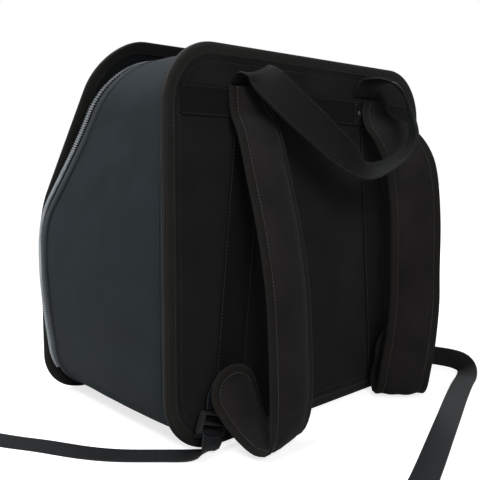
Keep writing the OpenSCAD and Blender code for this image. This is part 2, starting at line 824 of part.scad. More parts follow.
module lid_hinge_flap() {
    half = gusset_half_w - gusset_corner_r;
    start = low_flange + tape_t + 2 * run_gap;
    color([0.12, 0.12, 0.13])
        translate([-half, hinge_y - tape_t, start]) cube([2 * half, tape_t, binding_w - start]);
}

// Webbing and handle

module shoulder_band() {
    half = panel_w / 2 - binding_w - webbing_end_gap;
    color([0.09, 0.09, 0.09])
        translate([-half, back_y + tape_t - webbing_t, band_low_z]) cube([2 * half, webbing_t, band_w]);
}

// Webbing down the back panel, leaning outward toward the bottom
module back_webbing(side) {
    top = band_low_z;
    low = binding_w + webbing_end_gap;
    color([0.09, 0.09, 0.09])
        plate(back_y + tape_t - webbing_t, back_y + tape_t)
            polygon([
                [side * (back_webbing_top_x - back_webbing_w / 2), top],
                [side * (back_webbing_top_x + back_webbing_w / 2), top],
                [side * (back_webbing_low_x + back_webbing_w / 2), low],
                [side * (back_webbing_low_x - back_webbing_w / 2), low]
            ]);
}

module left_back_webbing() { back_webbing(-1); }
module right_back_webbing() { back_webbing(1); }

// Domed rivets through the band, one under each end of the handle
module handle_rivets() {
    color([0.75, 0.75, 0.76])
        for (side = [-1, 1])
            translate([side * rivet_x, back_y + tape_t - webbing_t, band_z])
                rotate([90, 0, 0]) {
                    cylinder(r = rivet_d / 2, h = rivet_head_h / 2);
                    translate([0, 0, rivet_head_h / 2])
                        cylinder(r1 = rivet_d / 2, r2 = rivet_d / 4, h = rivet_head_h / 2);
                }
}

// Strap inside the case that holds the instrument against the back, closed on itself
module retaining_strap() {
    half = gusset_half_w - retaining_inset;
    color([0.09, 0.09, 0.09])
        translate([0, inner_back_y, retaining_z])
            union() {
                translate([-half, 0, 0]) cube([2 * half, webbing_t, back_webbing_w]);
                translate([-retaining_overlap / 2, 0, 0])
                    cube([retaining_overlap, 2 * webbing_t, back_webbing_w]);
            }
}

module carry_handle() {
    color([0.08, 0.08, 0.08]) webbing(handle_route, handle_w);
}

module left_tail() {
    color([0.10, 0.11, 0.12]) webbing(left_tail_route, adjuster_w);
}

module right_tail() {
    color([0.10, 0.11, 0.12]) webbing(right_tail_route, adjuster_w);
}

module left_adjuster() {
    color([0.10, 0.11, 0.12]) webbing(left_adjuster_route, adjuster_w);
}

module right_adjuster() {
    color([0.10, 0.11, 0.12]) webbing(right_adjuster_route, adjuster_w);
}

// Shoulder straps

module left_strap() {
    color([0.15, 0.14, 0.15]) strap_core(left_strap_route, -strap_seam_x);
}

module left_strap_binding() {
    color([0.11, 0.11, 0.10]) strap_edges(left_strap_route, -strap_seam_x);
}

module right_strap() {
    color([0.15, 0.14, 0.15]) strap_core(right_strap_route, strap_seam_x);
}

module right_strap_binding() {
    color([0.11, 0.11, 0.10]) strap_edges(right_strap_route, strap_seam_x);
}

// Ladder locks

// Places a lock's own axes, with X along its bars and Z up its height
module at_lock(side) {
    translate([side * lock_x, back_y - lock_out, lock_z]) rotate([0, side * -lock_turn, 0]) children();
}

// Gap between webbing and a lock's sides
slot_gap = 0.5;

module lock(side) {
    lock_w = adjuster_w + 2 * lock_bar + 2 * slot_gap;
    bar_reach = (lock_h - lock_bar) / 2;
    color([0.06, 0.06, 0.06])
        at_lock(side)
            union() {
                for (end = [-1, 1])
                    translate([end * (lock_w - lock_bar) / 2 - lock_bar / 2, -lock_t / 2, -bar_reach])
                        cube([lock_bar, lock_t, 2 * bar_reach]);
                for (z = [-bar_reach, 0, bar_reach])
                    translate([-lock_w / 2, 0, z]) rotate([0, 90, 0]) cylinder(r = lock_bar / 2, h = lock_w);
            }
}

module left_lock() { lock(-1); }
module right_lock() { lock(1); }

// Webbing tab sewn to the foot of the back panel, looped round the lock's lower bar
module lock_tab(side) {
    bar_z = -lock_h / 2 + lock_bar / 2;
    inner_r = lock_bar / 2 + run_gap;
    outer_r = inner_r + webbing_t;
    root_drop = 3;
    root_h = 6;
    color([0.10, 0.11, 0.12])
        at_lock(side)
            translate([-adjuster_w / 2, 0, 0])
                rotate([90, 0, 90])
                    linear_extrude(adjuster_w)
                        difference() {
                            union() {
                                translate([0, bar_z]) circle(outer_r);
                                polygon([
                                    [-webbing_t, bar_z - inner_r],
                                    [webbing_t, bar_z - inner_r],
                                    [lock_out, bar_z - inner_r - root_drop],
                                    [lock_out, bar_z - inner_r - root_drop - root_h]
                                ]);
                            }
                            translate([0, bar_z]) circle(inner_r);
                        }
}

module left_lock_tab() { lock_tab(-1); }
module right_lock_tab() { lock_tab(1); }

back_cover();
back_board();
back_lining();
back_binding();
gusset();
gusset_lining();
gusset_edge_tape();
base_board();
lid_hinge_strip();
zipper_tape_case();
zipper_coil_case();
zipper_stops();
shoulder_band();
left_back_webbing();
right_back_webbing();
handle_rivets();
retaining_strap();
left_lock_tab();
right_lock_tab();
left_tail();
right_tail();
lid_cover();
lid_board();
lid_lining();
lid_binding();
lid_hinge_flap();
zipper_tape_lid();
zipper_coil_lid();
left_slider();
left_pull();
right_slider();
right_pull();
carry_handle();
left_strap();
left_strap_binding();
left_adjuster();
right_strap();
right_strap_binding();
right_adjuster();
left_lock();
right_lock();
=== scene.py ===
import math

import bmesh
import bpy
import numpy as np
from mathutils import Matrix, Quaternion, Vector, noise


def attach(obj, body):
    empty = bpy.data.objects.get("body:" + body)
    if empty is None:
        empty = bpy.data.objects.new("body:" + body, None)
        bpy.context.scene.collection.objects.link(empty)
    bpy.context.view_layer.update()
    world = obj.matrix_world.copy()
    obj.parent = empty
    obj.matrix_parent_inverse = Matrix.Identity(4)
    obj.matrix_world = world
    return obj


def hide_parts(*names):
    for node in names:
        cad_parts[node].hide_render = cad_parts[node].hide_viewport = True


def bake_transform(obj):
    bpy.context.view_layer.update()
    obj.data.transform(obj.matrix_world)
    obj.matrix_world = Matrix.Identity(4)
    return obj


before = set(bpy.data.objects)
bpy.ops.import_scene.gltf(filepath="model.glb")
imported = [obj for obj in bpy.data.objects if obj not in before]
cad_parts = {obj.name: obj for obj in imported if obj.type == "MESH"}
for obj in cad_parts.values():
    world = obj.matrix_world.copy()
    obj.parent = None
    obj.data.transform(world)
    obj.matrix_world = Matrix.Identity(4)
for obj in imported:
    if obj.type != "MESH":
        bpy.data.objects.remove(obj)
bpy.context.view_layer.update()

# Sizes in millimetres, as in the construction
TAPE_T = 1.0
BOUND_T = 8.0
BACK_Y = -BOUND_T / 2
BASE_DEPTH = 246.0
FRONT_Y = BACK_Y + BASE_DEPTH
PANEL_W, PANEL_H, PANEL_R = 386.0, 380.0, 58.0
BINDING_W = 12.0
BOARD_T, LINING_T = 3.0, 1.5
GUSSET_HALF_W = PANEL_W / 2 - 9
GUSSET_TOP = PANEL_H - 9
LOW = 6.0
GUSSET_R, GUSSET_T = 50.0, 5.0
GUSSET_DEPTH, SEAM_DEPTH = 215, 13
BULGE, BULGE_Z, BULGE_REACH = 14.0, 160.0, 168.0
LID_W, LID_H, LID_R = 386.0, 390.0, 47.0
LEAN, BEND_Z, BEND_R = math.radians(40), 215.0, 90.0
LID_T = 6.0
GAP = 13.0
EDGE_D = LID_T + GAP
CHAIN_D = LID_T + GAP / 2
TAPE_INSET = 4.0
ZIP_END_Z = 30.0
TEETH_INSET = -0.6
HINGE_Y = FRONT_Y - LID_T
WEBBING_T = 1.6
BAND_Z, BAND_W = 327.0, 28.0
BAND_TOP = BAND_Z + BAND_W / 2
SEAM_Z = BAND_TOP + TAPE_T
BACK_WEBBING_W = 38.0
STRAP_W, STRAP_SEAM_W, STRAP_TAPER = 58.0, 43.0, 27.0
STRAP_T, STRAP_EDGE_T, STRAP_BINDING = 12.0, 4.0, 10.0
STRAP_X = 94.0
RIVET_X = 74.0
LOCK_X, LOCK_Z, LOCK_OUT, LOCK_TURN = 148.0, 29.0, 10.0, math.radians(20)

LEFT_STRAP = [
    [[0, 4.4, SEAM_Z], [1, 0, 0]], [[0, 4.6, SEAM_Z - 13], [1, 0, 0]], [[0, 7, SEAM_Z - 27], [1, 0, 0]],
    [[1, 15, SEAM_Z - 44], [1, 0, 0]], [[2, 29, SEAM_Z - 92], [1, 0, 0]], [[4, 41, SEAM_Z - 140], [1, 0, 0]],
    [[5, 50, 150], [1, 0, 0]], [[5, 54, 100], [1, 0, 0]], [[5, 56, 55], [1, 0, 0]],
    [[3, 56, 30], [1, -0.05, 0]], [[-1, 53, 15], [1, -0.15, 0]], [[-6, 46, 8], [1, -0.3, 0]],
    [[-12, 37, 10], [1, -0.4, 0]], [[-19, 29, 21], [1, -0.35, 0.05]], [[-26, 22, 38], [1, -0.2, 0.15]],
    [[-32, 17, 56], [1, -0.05, 0.2]], [[-36, 15, 70], [1, 0, 0.2]], [[-39, 14, 82], [1, 0, 0.2]]]
RIGHT_STRAP = [
    [[0, 4.4, SEAM_Z], [1, 0, 0]], [[0, 5, SEAM_Z - 11], [1, 0.02, 0]], [[3, 12, SEAM_Z - 24], [1, 0.14, 0]],
    [[11, 25, SEAM_Z - 40], [1, 0.38, 0]], [[19, 37, SEAM_Z - 60], [1, 0.65, 0]],
    [[24, 44, SEAM_Z - 85], [1, 0.8, 0]], [[28, 48, SEAM_Z - 137], [1, 0.8, 0]], [[27, 50, 150], [1, 0.8, 0]],
    [[25, 52, 110], [1, 0.85, 0]], [[19, 52, 65], [1, 0.9, 0]], [[14, 50, 34], [1, 0.95, 0]],
    [[14, 48, 20], [1, 0.95, 0]], [[15, 44, 10.5], [1, 0.93, 0]], [[18, 38, 7.5], [1, 0.92, 0]],
    [[21, 32, 10.5], [1, 0.88, 0]], [[24, 29, 20], [1, 0.8, 0]], [[27, 29, 36], [1, 0.6, 0]],
    [[29, 28, 54], [1, 0.45, 0]], [[30, 26, 70], [1, 0.4, 0]], [[30, 25, 82], [1, 0.35, 0]]]
HANDLE = [
    [[-RIVET_X - 24, 1.2, BAND_TOP + 4], [1, 0, 0]], [[-RIVET_X - 24, 4, BAND_TOP + 11], [1, 0, 0.05]],
    [[-95, 13, BAND_TOP + 14], [0.9, 0, 0.3]], [[-86, 24, BAND_TOP + 3], [0.66, 0, 0.64]],
    [[-68, 32, BAND_TOP - 14], [0.6, 0, 0.8]], [[-40, 38, BAND_TOP - 34], [0.56, 0, 0.83]],
    [[-12, 44, BAND_TOP - 55], [0.56, -0.1, 0.82]], [[12, 49, BAND_TOP - 69], [0.6, -0.35, 0.72]],
    [[32, 54, BAND_TOP - 74], [0.62, -0.7, 0.35]], [[55, 62, BAND_TOP - 66], [0.6, -0.76, 0.2]],
    [[76, 66, BAND_TOP - 47], [0.66, -0.72, 0.1]], [[87, 59, BAND_TOP - 22], [0.74, -0.65, 0.05]],
    [[91, 46, BAND_TOP + 5], [0.85, -0.5, 0]], [[89, 28, BAND_TOP + 20], [0.96, -0.25, 0]],
    [[85, 11, BAND_TOP + 19], [1, 0, 0]], [[RIVET_X + 8, 4, BAND_TOP + 11], [1, 0, 0]],
    [[RIVET_X + 8, 1.2, BAND_TOP + 4], [1, 0, 0]]]
LEFT_TAIL = [
    [[-152, 15.5, 19], [0.94, 0, -0.34]], [[-156, 16, 11], [0.94, -0.05, -0.2]],
    [[-161, 12, 5], [0.88, -0.35, -0.06]], [[-170, 1, 1.6], [0.8, -0.6, 0]],
    [[-189, -17, 1], [0.73, -0.68, 0]],
    [[-217, -43, 1], [0.75, -0.66, 0]], [[-238, -70, 1], [0.84, -0.54, 0]],
    [[-261, -110, 1], [0.86, -0.5, 0]],
    [[-281, -142, 1], [0.86, -0.5, 0]], [[-300, -180, 1], [0.92, -0.38, 0]],
    [[-312, -225, 1], [0.98, -0.18, 0]],
    [[-315, -265, 1], [1, -0.05, 0]]]
RIGHT_TAIL = [
    [[148, 18, 15], [0.94, 0, 0.34]], [[157, 19, 12.6], [0.92, 0.1, 0.38]],
    [[168, 16, 14], [0.55, 0.1, 0.85]],
    [[181, 6, 14.2], [0.1, 0, 1]], [[202, -6, 14.2], [0, 0, 1]], [[225, -11, 14.2], [0, 0, 1]],
    [[240, -6, 14.2], [0, 0, 1]], [[248, 11, 14.2], [0, 0, 1]], [[252, 29, 13.8], [0.1, 0.05, 0.98]],
    [[253, 42, 11.4], [0.4, 0.3, 0.82]], [[247, 52, 6.4], [0.5, 0.7, 0.42]],
    [[231, 60, 1.6], [0.4, 0.9, 0.05]],
    [[200, 71, 1], [0.38, 0.92, 0]], [[150, 91, 1], [0.39, 0.92, 0]], [[100, 112, 1], [0.39, 0.92, 0]],
    [[40, 137, 1], [0.39, 0.92, 0]], [[-20, 162, 1], [0.39, 0.92, 0]], [[-80, 186, 1], [0.34, 0.94, 0]]]
LEFT_ADJUSTER = [
    [[-130, 13, 75], [0.9, 0, -0.15]], [[-134, 9, 65], [0.92, 0, -0.25]], [[-138, 7, 55], [0.93, 0, -0.3]],
    [[-141, 8, 47], [0.94, 0, -0.34]], [[-142, 9, 42], [0.94, 0, -0.34]]]
RIGHT_ADJUSTER = [
    [[122, 24, 77], [0.95, 0.2, 0.15]], [[127, 18, 68], [0.95, 0.1, 0.25]], [[134, 12, 57], [0.93, 0, 0.3]],
    [[139, 9, 48], [0.94, 0, 0.34]], [[142, 9, 42], [0.94, 0, 0.34]]]


# Camera, at the photograph's place

def make_camera():
    yaw, pitch, roll = math.radians(42.35), math.radians(6.89), math.radians(0.21)
    focal_px, image_px, sensor = 653.0, 480, 36.0
    data = bpy.data.cameras.new("camera")
    data.sensor_width = sensor
    data.lens = focal_px / image_px * sensor
    data.clip_start = 0.05
    cam = bpy.data.objects.new("camera", data)
    bpy.context.scene.collection.objects.link(cam)
    look = Vector((math.sin(yaw) * math.cos(pitch), math.cos(yaw) * math.cos(pitch), -math.sin(pitch)))
    cam.rotation_mode = "QUATERNION"
    cam.rotation_quaternion = look.to_track_quat("-Z", "Y") @ Quaternion((0, 0, 1), roll)
    cam.location = (-0.5245, -0.4643, 0.2733)
    bpy.context.scene.camera = cam


make_camera()


# Shape functions

def swirl(p, scale, seed):
    """Smooth noise from -1 to 1 at a place in millimetres."""
    return noise.noise(Vector((p[0] / scale + seed * 7.3, p[1] / scale - seed * 3.1, p[2] / scale + seed)))


def step(a, b, x):
    t = np.clip((np.asarray(x, float) - a) / (b - a), 0, 1)
    return t * t * (3 - 2 * t)


def along(values, steps):
    v = np.array(values, float)
    n = len(v)
    out = []
    for i in range(n - 1):
        a, b, c, d = v[max(i - 1, 0)], v[i], v[i + 1], v[min(i + 2, n - 1)]
        for k in range(steps):
            t = k / steps
            out.append(0.5 * (2 * b + (c - a) * t + (2 * a - 5 * b + 4 * c - d) * t * t
                              + (3 * b - a - 3 * c + d) * t ** 3))
    out.append(v[-1])
    return np.array(out)


def unit(v):
    return v / np.linalg.norm(v, axis=-1, keepdims=True)


class Route:
    """Middle line of a soft piece, with its width and face directions, by distance from its start."""

    def __init__(self, points, widths):
        self.p = np.array(points, float)
        lengths = np.linalg.norm(np.diff(self.p, axis=0), axis=1)
        self.s = np.r_[0, np.cumsum(lengths)]
        self.length = self.s[-1]
        h = np.empty_like(self.p)
        h[1:-1] = self.p[2:] - self.p[:-2]
        h[0], h[-1] = self.p[1] - self.p[0], self.p[-1] - self.p[-2]
        self.h = unit(h)
        w = np.array(widths, float)
        self.u = unit(w - (w * self.h).sum(1)[:, None] * self.h)
        self.n = np.cross(self.h, self.u)

    def at(self, s, u=0.0, h=0.0):
        s, u, h = np.broadcast_arrays(*(np.asarray(x, float) for x in (s, u, h)))
        def mix(a):
            return np.stack([np.interp(s, self.s, a[:, k]) for k in range(3)], axis=-1)
        over = np.where(s > self.length, s - self.length, 0) + np.where(s < 0, s, 0)
        return (mix(self.p) + over[..., None] * mix(self.h)
                + unit(mix(self.u)) * u[..., None] + unit(mix(self.n)) * h[..., None])

    def face(self, s):
        return unit(np.stack([np.interp(s, self.s, self.n[:, k]) for k in range(3)], axis=-1))


def from_construction(route, side_x=0.0, steps=8):
    p = along([r[0] for r in route], steps)
    w = along([r[1] for r in route], steps)
    return Route(np.c_[p[:, 0] + side_x, BACK_Y - p[:, 1], p[:, 2]], np.c_[w[:, 0], -w[:, 1], w[:, 2]])


def outline(w, h, r, z0=0.0, inset=0.0, corner=12, pitch=7.0):
    """Places and inward directions round a rounded rectangle, from the middle of its lower side."""
    r_in = max(r - inset, 0.01)
    cx, low, high = w / 2 - r, z0 + r, z0 + h - r
    pts, ins, base = [], [], []
    def straight(a, b, n_in):
        count = max(2, int(round(math.dist(a, b) / pitch)))
        for k in range(1, count):
            t = k / count
            p = (a[0] + (b[0] - a[0]) * t, a[1] + (b[1] - a[1]) * t)
            pts.append((p[0] + n_in[0] * inset, p[1] + n_in[1] * inset))
            ins.append(n_in)
            base.append(p)
    def turn(c, start):
        for k in range(corner + 1):
            a = math.radians(start + 90 * k / corner)
            n_out = (math.cos(a), math.sin(a))
            pts.append((c[0] + n_out[0] * r_in, c[1] + n_out[1] * r_in))
            ins.append((-n_out[0], -n_out[1]))
            base.append((c[0] + n_out[0] * r, c[1] + n_out[1] * r))
    pts.append((0, z0 + inset))
    ins.append((0, 1))
    base.append((0, z0))
    straight((0, z0), (cx, z0), (0, 1))
    turn((cx, low), -90)
    straight((w / 2, low), (w / 2, high), (-1, 0))
    turn((cx, high), 0)
    straight((cx, z0 + h), (-cx, z0 + h), (0, -1))
    turn((-cx, high), 90)
    straight((-w / 2, high), (-w / 2, low), (1, 0))
    turn((-cx, low), 180)
    straight((-cx, z0), (0, z0), (0, 1))
    base = np.array(base)
    run = np.r_[0, np.cumsum(np.linalg.norm(np.diff(np.r_[base, base[:1]], axis=0), axis=1))]
    return np.array(pts), np.array(ins), run


def edge_distance(x, z, w, h, r, z0=0.0):
    """How far a place lies inside a rectangle with round corners."""
    qx = np.abs(x) - (w / 2 - r)
    qz = np.abs(z - z0 - h / 2) - (h / 2 - r)
    out = np.hypot(np.maximum(qx, 0), np.maximum(qz, 0)) + np.minimum(np.maximum(qx, qz), 0)
    return r - out


BEND_Y = FRONT_Y - BEND_R
BEND_CZ = BEND_Z - BEND_R * math.tan(LEAN / 2)


def lid_y(z, d):
    """Place along Y, at a height, of the surface set in by d from the lid's face."""
    z = np.asarray(z, float)
    r = BEND_R - d
    end = BEND_CZ + r * math.sin(LEAN)
    arc = BEND_Y + np.sqrt(np.maximum(r * r - np.square(np.clip(z, BEND_CZ, end) - BEND_CZ), 0))
    return np.where(z <= BEND_CZ, BEND_Y + r, np.where(z <= end, arc, arc - (z - end) * math.tan(LEAN)))


def rolled(y, z, r):
    """Keeps the lid's lower edge inside its roll about the hinge."""
    limit = HINGE_Y + np.sqrt(np.maximum(r * r - np.square(np.minimum(z - LOW, 0)), 0))
    return np.where(z < LOW, np.minimum(y, limit), y)


def swell(z):
    t = np.clip(np.abs(z - BULGE_Z) / BULGE_REACH, 0, 1)
    return np.cos(t * math.pi / 2) ** 2


def mouth(inset, t=1.0):
    """The gusset's outline set in by a distance, at a share t of the way to its front edge."""
    pts, ins, run = outline(2 * GUSSET_HALF_W, GUSSET_TOP - LOW, GUSSET_R, LOW, inset)
    grow = 1 + BULGE * t * swell(pts[:, 1]) / GUSSET_HALF_W
    return np.c_[pts[:, 0] * grow, pts[:, 1]], ins, run


def panel_face(x, z):
    """Place along Y of the back panel's cloth: padded, with a sewn line inside its bound edge."""
    d = edge_distance(x, z, PANEL_W, PANEL_H, PANEL_R)
    crown = 0.2 + 0.75 * step(19, 60, d) + 0.25 * step(12, 15, d)
    groove = 0.75 * np.exp(-np.square((d - 17.5) / 1.3))
    return BACK_Y + TAPE_T - crown + groove


class Piece:
    def __init__(self):
        self.verts, self.faces, self.uvs, self.mats, self.count = [], [], [], [], 0

    def grid(self, pts, uv, wrap_a=False, wrap_b=False, mat=0, caps=False):
        pts = np.asarray(pts, float)
        rows, cols = pts.shape[:2]
        base = self.count
        self.verts.append(pts.reshape(-1, 3))
        self.count += rows * cols
        for i in range(rows if wrap_a else rows - 1):
            i2 = (i + 1) % rows
            for j in range(cols if wrap_b else cols - 1):
                j2 = (j + 1) % cols
                self.faces.append((base + i * cols + j, base + i2 * cols + j, base + i2 * cols + j2,
                                   base + i * cols + j2))
                self.uvs += [uv[i][j], uv[i + 1][j], uv[i + 1][j + 1], uv[i][j + 1]]
                self.mats.append(mat)
        if caps:
            for i in (0, rows - 1):
                ring = [base + i * cols + j for j in range(cols)]
                self.faces.append(tuple(ring))
                self.uvs += [uv[i][j] for j in range(cols)]
                self.mats.append(mat)

    def build(self, name, body, mats, slot, replaces=(), sharp=55):
        mesh = bpy.data.meshes.new(name)
        mesh.from_pydata((np.concatenate(self.verts) * 0.001).tolist(), [], self.faces)
        for m in mats:
            mesh.materials.append(m)
        mesh.polygons.foreach_set("material_index", self.mats)
        layer = mesh.uv_layers.new(name="UVMap")
        layer.data.foreach_set("uv", (np.array(self.uvs, float) * 0.001).ravel())
        bm = bmesh.new()
        bm.from_mesh(mesh)
        bmesh.ops.recalc_face_normals(bm, faces=bm.faces)
        bm.to_mesh(mesh)
        bm.free()
        mesh.shade_smooth()
        mesh.set_sharp_from_angle(angle=math.radians(sharp))
        obj = bpy.data.objects.new(name, mesh)
        bpy.context.scene.collection.objects.link(obj)
        if body:
            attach(obj, body)
        if replaces:
            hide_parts(*replaces)
        return obj


def sheet_uv(a, b):
    return np.stack(np.meshgrid(a, b, indexing="ij"), axis=-1)


def girth(section):
    """Running width round a closed section, for its place on the cloth."""
    closed = section[1:] + section[:1]
    return np.r_[0, np.cumsum([math.dist(a, b) for a, b in zip(section, closed)])]


# Materials

def material(name):
    m = bpy.data.materials.new(name)
    m.use_nodes = True
    nodes, links = m.node_tree.nodes, m.node_tree.links
    shader = nodes["Principled BSDF"]
    return m, nodes, links, shader


def math_node(nodes, links, kind, a, b=None, clamp=False):
    n = nodes.new("ShaderNodeMath")
    n.operation = kind
    n.use_clamp = clamp
    for k, v in enumerate((a, b)):
        if v is None:
            continue
        if isinstance(v, (int, float)):
            n.inputs[k].default_value = v
        else:
            links.new(v, n.inputs[k])
    return n.outputs[0]


def places(nodes, coords):
    tex = nodes.new("ShaderNodeTexCoord")
    return tex.outputs["UV" if coords == "uv" else "Object"]


def shade(nodes, links, factor, dark, light):
    """Colour between two tones."""
    ramp = nodes.new("ShaderNodeValToRGB")
    ramp.color_ramp.elements[0].position = 0.25
    ramp.color_ramp.elements[1].position = 0.75
    ramp.color_ramp.elements[0].color = (*dark, 1)
    ramp.color_ramp.elements[1].color = (*light, 1)
    links.new(factor, ramp.inputs[0])
    return ramp.outputs[0]


def cloth(name, color, coords="uv", pitch=0.9, rough=0.82, sheen=0.25, spread=0.22, depth=0.00018, ribs=None,
          gloss=0.08):
    """Woven cloth, with painted shade in the hollows of its weave and ribs. pitch is the thread spacing in
    millimetres, ribs the spacing of ribs across the length.
    """
    m, nodes, links, shader = material(name)

    def calc(kind, x, y=None, clamp=False):
        return math_node(nodes, links, kind, x, y, clamp)

    src = places(nodes, coords)
    split = nodes.new("ShaderNodeSeparateXYZ")
    links.new(src, split.inputs[0])
    a = calc("MULTIPLY", split.outputs[0], 2 * math.pi * 1000 / pitch)
    b = calc("MULTIPLY", split.outputs[1], 2 * math.pi * 1000 / pitch)
    if coords == "object":
        b = calc("MULTIPLY", split.outputs[2], 2 * math.pi * 1000 / pitch)
    sin_a, sin_b = calc("SINE", a), calc("SINE", b)
    height = calc("MULTIPLY", sin_a, sin_b)
    if ribs:
        c = calc("MULTIPLY", split.outputs[0 if coords == "uv" else 2],
                      math.pi * 1000 / ribs)
        rib = calc("ABSOLUTE", calc("SINE", c))
        height = calc("ADD", calc("MULTIPLY", height, 0.35),
                           calc("MULTIPLY", rib, 1.6))
    grain = nodes.new("ShaderNodeTexNoise")
    grain.inputs["Scale"].default_value = 900
    grain.inputs["Detail"].default_value = 2
    links.new(src, grain.inputs["Vector"])
    patch = nodes.new("ShaderNodeTexNoise")
    patch.inputs["Scale"].default_value = 22
    patch.inputs["Detail"].default_value = 4
    links.new(src, patch.inputs["Vector"])
    mixed = calc("ADD", calc("MULTIPLY", grain.outputs[0], 0.45),
                      calc("MULTIPLY", patch.outputs[0], 0.55))
    # Painted shade and highlight: the hollows of the weave and ribs are darkened and their crests lightened
    # in the colour, on top of the random grain and patch tone.
    mixed = calc("ADD", mixed, calc("MULTIPLY", height, 0.12))
    mixed = calc("SUBTRACT", calc("MULTIPLY", mixed, 2.0), 0.5, clamp=True)
    dark = [c * (1 - spread) for c in color]
    light = [c * (1 + spread) for c in color]
    links.new(shade(nodes, links, mixed, dark, light), shader.inputs["Base Color"])
    total = calc("ADD", height, calc("MULTIPLY", grain.outputs[0], 0.8))
    bump = nodes.new("ShaderNodeBump")
    bump.inputs["Strength"].default_value = 0.55
    bump.inputs["Distance"].default_value = depth
    links.new(total, bump.inputs["Height"])
    links.new(bump.outputs[0], shader.inputs["Normal"])
    uneven = nodes.new("ShaderNodeMapRange")
    uneven.inputs["To Min"].default_value = rough * 0.8
    uneven.inputs["To Max"].default_value = min(1, rough * 1.2)
    links.new(patch.outputs[0], uneven.inputs[0])
    links.new(uneven.outputs[0], shader.inputs["Roughness"])
    shader.inputs["Sheen Weight"].default_value = sheen
    shader.inputs["Sheen Roughness"].default_value = 0.45
    shader.inputs["Sheen Tint"].default_value = (0.8, 0.85, 0.9, 1)
    shader.inputs["Specular IOR Level"].default_value = gloss
    return m


def hard(name, color, rough, metallic=0.0, scale=60, spread=0.12, depth=0.00005):
    """Moulded or painted surface with small marks and uneven gloss."""
    m, nodes, links, shader = material(name)
    src = places(nodes, "object")
    marks = nodes.new("ShaderNodeTexNoise")
    marks.inputs["Scale"].default_value = scale
    marks.inputs["Detail"].default_value = 6
    links.new(src, marks.inputs["Vector"])
    links.new(shade(nodes, links, marks.outputs[0], [c * (1 - spread) for c in color],
                    [c * (1 + spread) for c in color]), shader.inputs["Base Color"])
    spread_rough = nodes.new("ShaderNodeMapRange")
    spread_rough.inputs["To Min"].default_value = rough * 0.8
    spread_rough.inputs["To Max"].default_value = min(1, rough * 1.25)
    links.new(marks.outputs[0], spread_rough.inputs[0])
    links.new(spread_rough.outputs[0], shader.inputs["Roughness"])
    bump = nodes.new("ShaderNodeBump")
    bump.inputs["Strength"].default_value = 0.4
    bump.inputs["Distance"].default_value = depth
    links.new(marks.outputs[0], bump.inputs["Height"])
    links.new(bump.outputs[0], shader.inputs["Normal"])
    shader.inputs["Metallic"].default_value = metallic
    return m


PANEL = cloth("panel_cloth", (0.0105, 0.0092, 0.0098), rough=0.85, sheen=0.05, spread=0.3)
STRAP_CLOTH = cloth("strap_cloth", (0.0125, 0.0108, 0.0112), rough=0.85, sheen=0.05, spread=0.35)
LID_CLOTH = cloth("lid_cloth", (0.0080, 0.0092, 0.0098), rough=0.85, sheen=0.06)
GUSSET_CLOTH = cloth("gusset_cloth", (0.0088, 0.0130, 0.0152), rough=0.72, sheen=0.05, spread=0.3, gloss=0.15)
GUSSET_TAPE = cloth("gusset_tape", (0.0130, 0.0180, 0.0205), pitch=0.8, ribs=1.4, rough=0.55, sheen=0.10,
                    gloss=0.3)
EDGE_TAPE = cloth("edge_tape", (0.0085, 0.0078, 0.0066), pitch=0.8, ribs=1.4, rough=0.6, sheen=0.06,
                  spread=0.4, gloss=0.15)
STRAP_TAPE = cloth("strap_tape", (0.0078, 0.0071, 0.0062), pitch=0.8, ribs=1.4, rough=0.7, sheen=0.06,
                   spread=0.4)
WEBBING = cloth("webbing", (0.0045, 0.0043, 0.0045), pitch=1.1, ribs=1.9, rough=0.7, sheen=0.04, depth=0.0003)
TAIL_WEBBING = cloth("tail_webbing", (0.0048, 0.0052, 0.0060), pitch=1.1, ribs=1.9, rough=0.45, sheen=0.05,
                     gloss=0.25,
                     depth=0.0003)
HANDLE_WEBBING = cloth("handle_webbing", (0.0034, 0.0033, 0.0034), pitch=1.0, ribs=1.6, rough=0.5,
                       sheen=0.02, gloss=0.15,
                       depth=0.0003)
LINING = cloth("lining_cloth", (0.0130, 0.0130, 0.0145), pitch=0.7, rough=0.9, sheen=0.2)
ZIP_TAPE = cloth("zipper_tape", (0.0085, 0.0090, 0.0095), pitch=0.7, rough=0.8, sheen=0.1)
THREAD = cloth("thread", (0.0240, 0.0230, 0.0215), pitch=0.5, rough=0.6, sheen=0.2)
PALE_THREAD = cloth("pale_thread", (0.0650, 0.0600, 0.0540), pitch=0.5, rough=0.6, sheen=0.2)
COIL = hard("zipper_coil", (0.30, 0.32, 0.34), 0.3)
BOARD = hard("board", (0.20, 0.20, 0.21), 0.6)
SLIDER = hard("slider_metal", (0.020, 0.020, 0.021), 0.35, metallic=0.4)
RIVET = hard("rivet_metal", (0.62, 0.60, 0.57), 0.32, metallic=1.0)
RIVET_RING = hard("rivet_ring", (0.012, 0.012, 0.012), 0.4)
LOCK = hard("lock_plastic", (0.012, 0.012, 0.012), 0.42)


# Builders of webbing, tapes and stitches

def ribbon(route, width, thickness=WEBBING_T, cup=0.0, cells=8, pitch=4.0, s0=0.0, s1=None, piece=None, mat=0,
           wave=0.0, seed=1):
    """Flat webbing with rounded edges along a route."""
    piece = piece or Piece()
    s1 = route.length if s1 is None else s1
    stations = np.linspace(s0, s1, max(3, int((s1 - s0) / pitch) + 1))
    half, t = width / 2, thickness / 2
    share = np.linspace(-1, 1, cells + 1)
    us = np.r_[share * (half - t * 0.6), half, share[::-1] * (half - t * 0.6), -half]
    hs = np.r_[np.full(cells + 1, t), 0, np.full(cells + 1, -t), 0]
    grid = []
    for s in stations:
        lift = cup * (us / half) ** 2
        if wave:
            lift = lift + wave * np.array([swirl((u, s, 0), 26, seed) for u in us])
        grid.append(route.at(np.full(len(us), s), us, hs + lift))
    run = np.r_[us, us[:1]]
    uv = sheet_uv(stations, run)
    piece.grid(np.array(grid), uv, wrap_b=True, mat=mat, caps=True)
    return piece


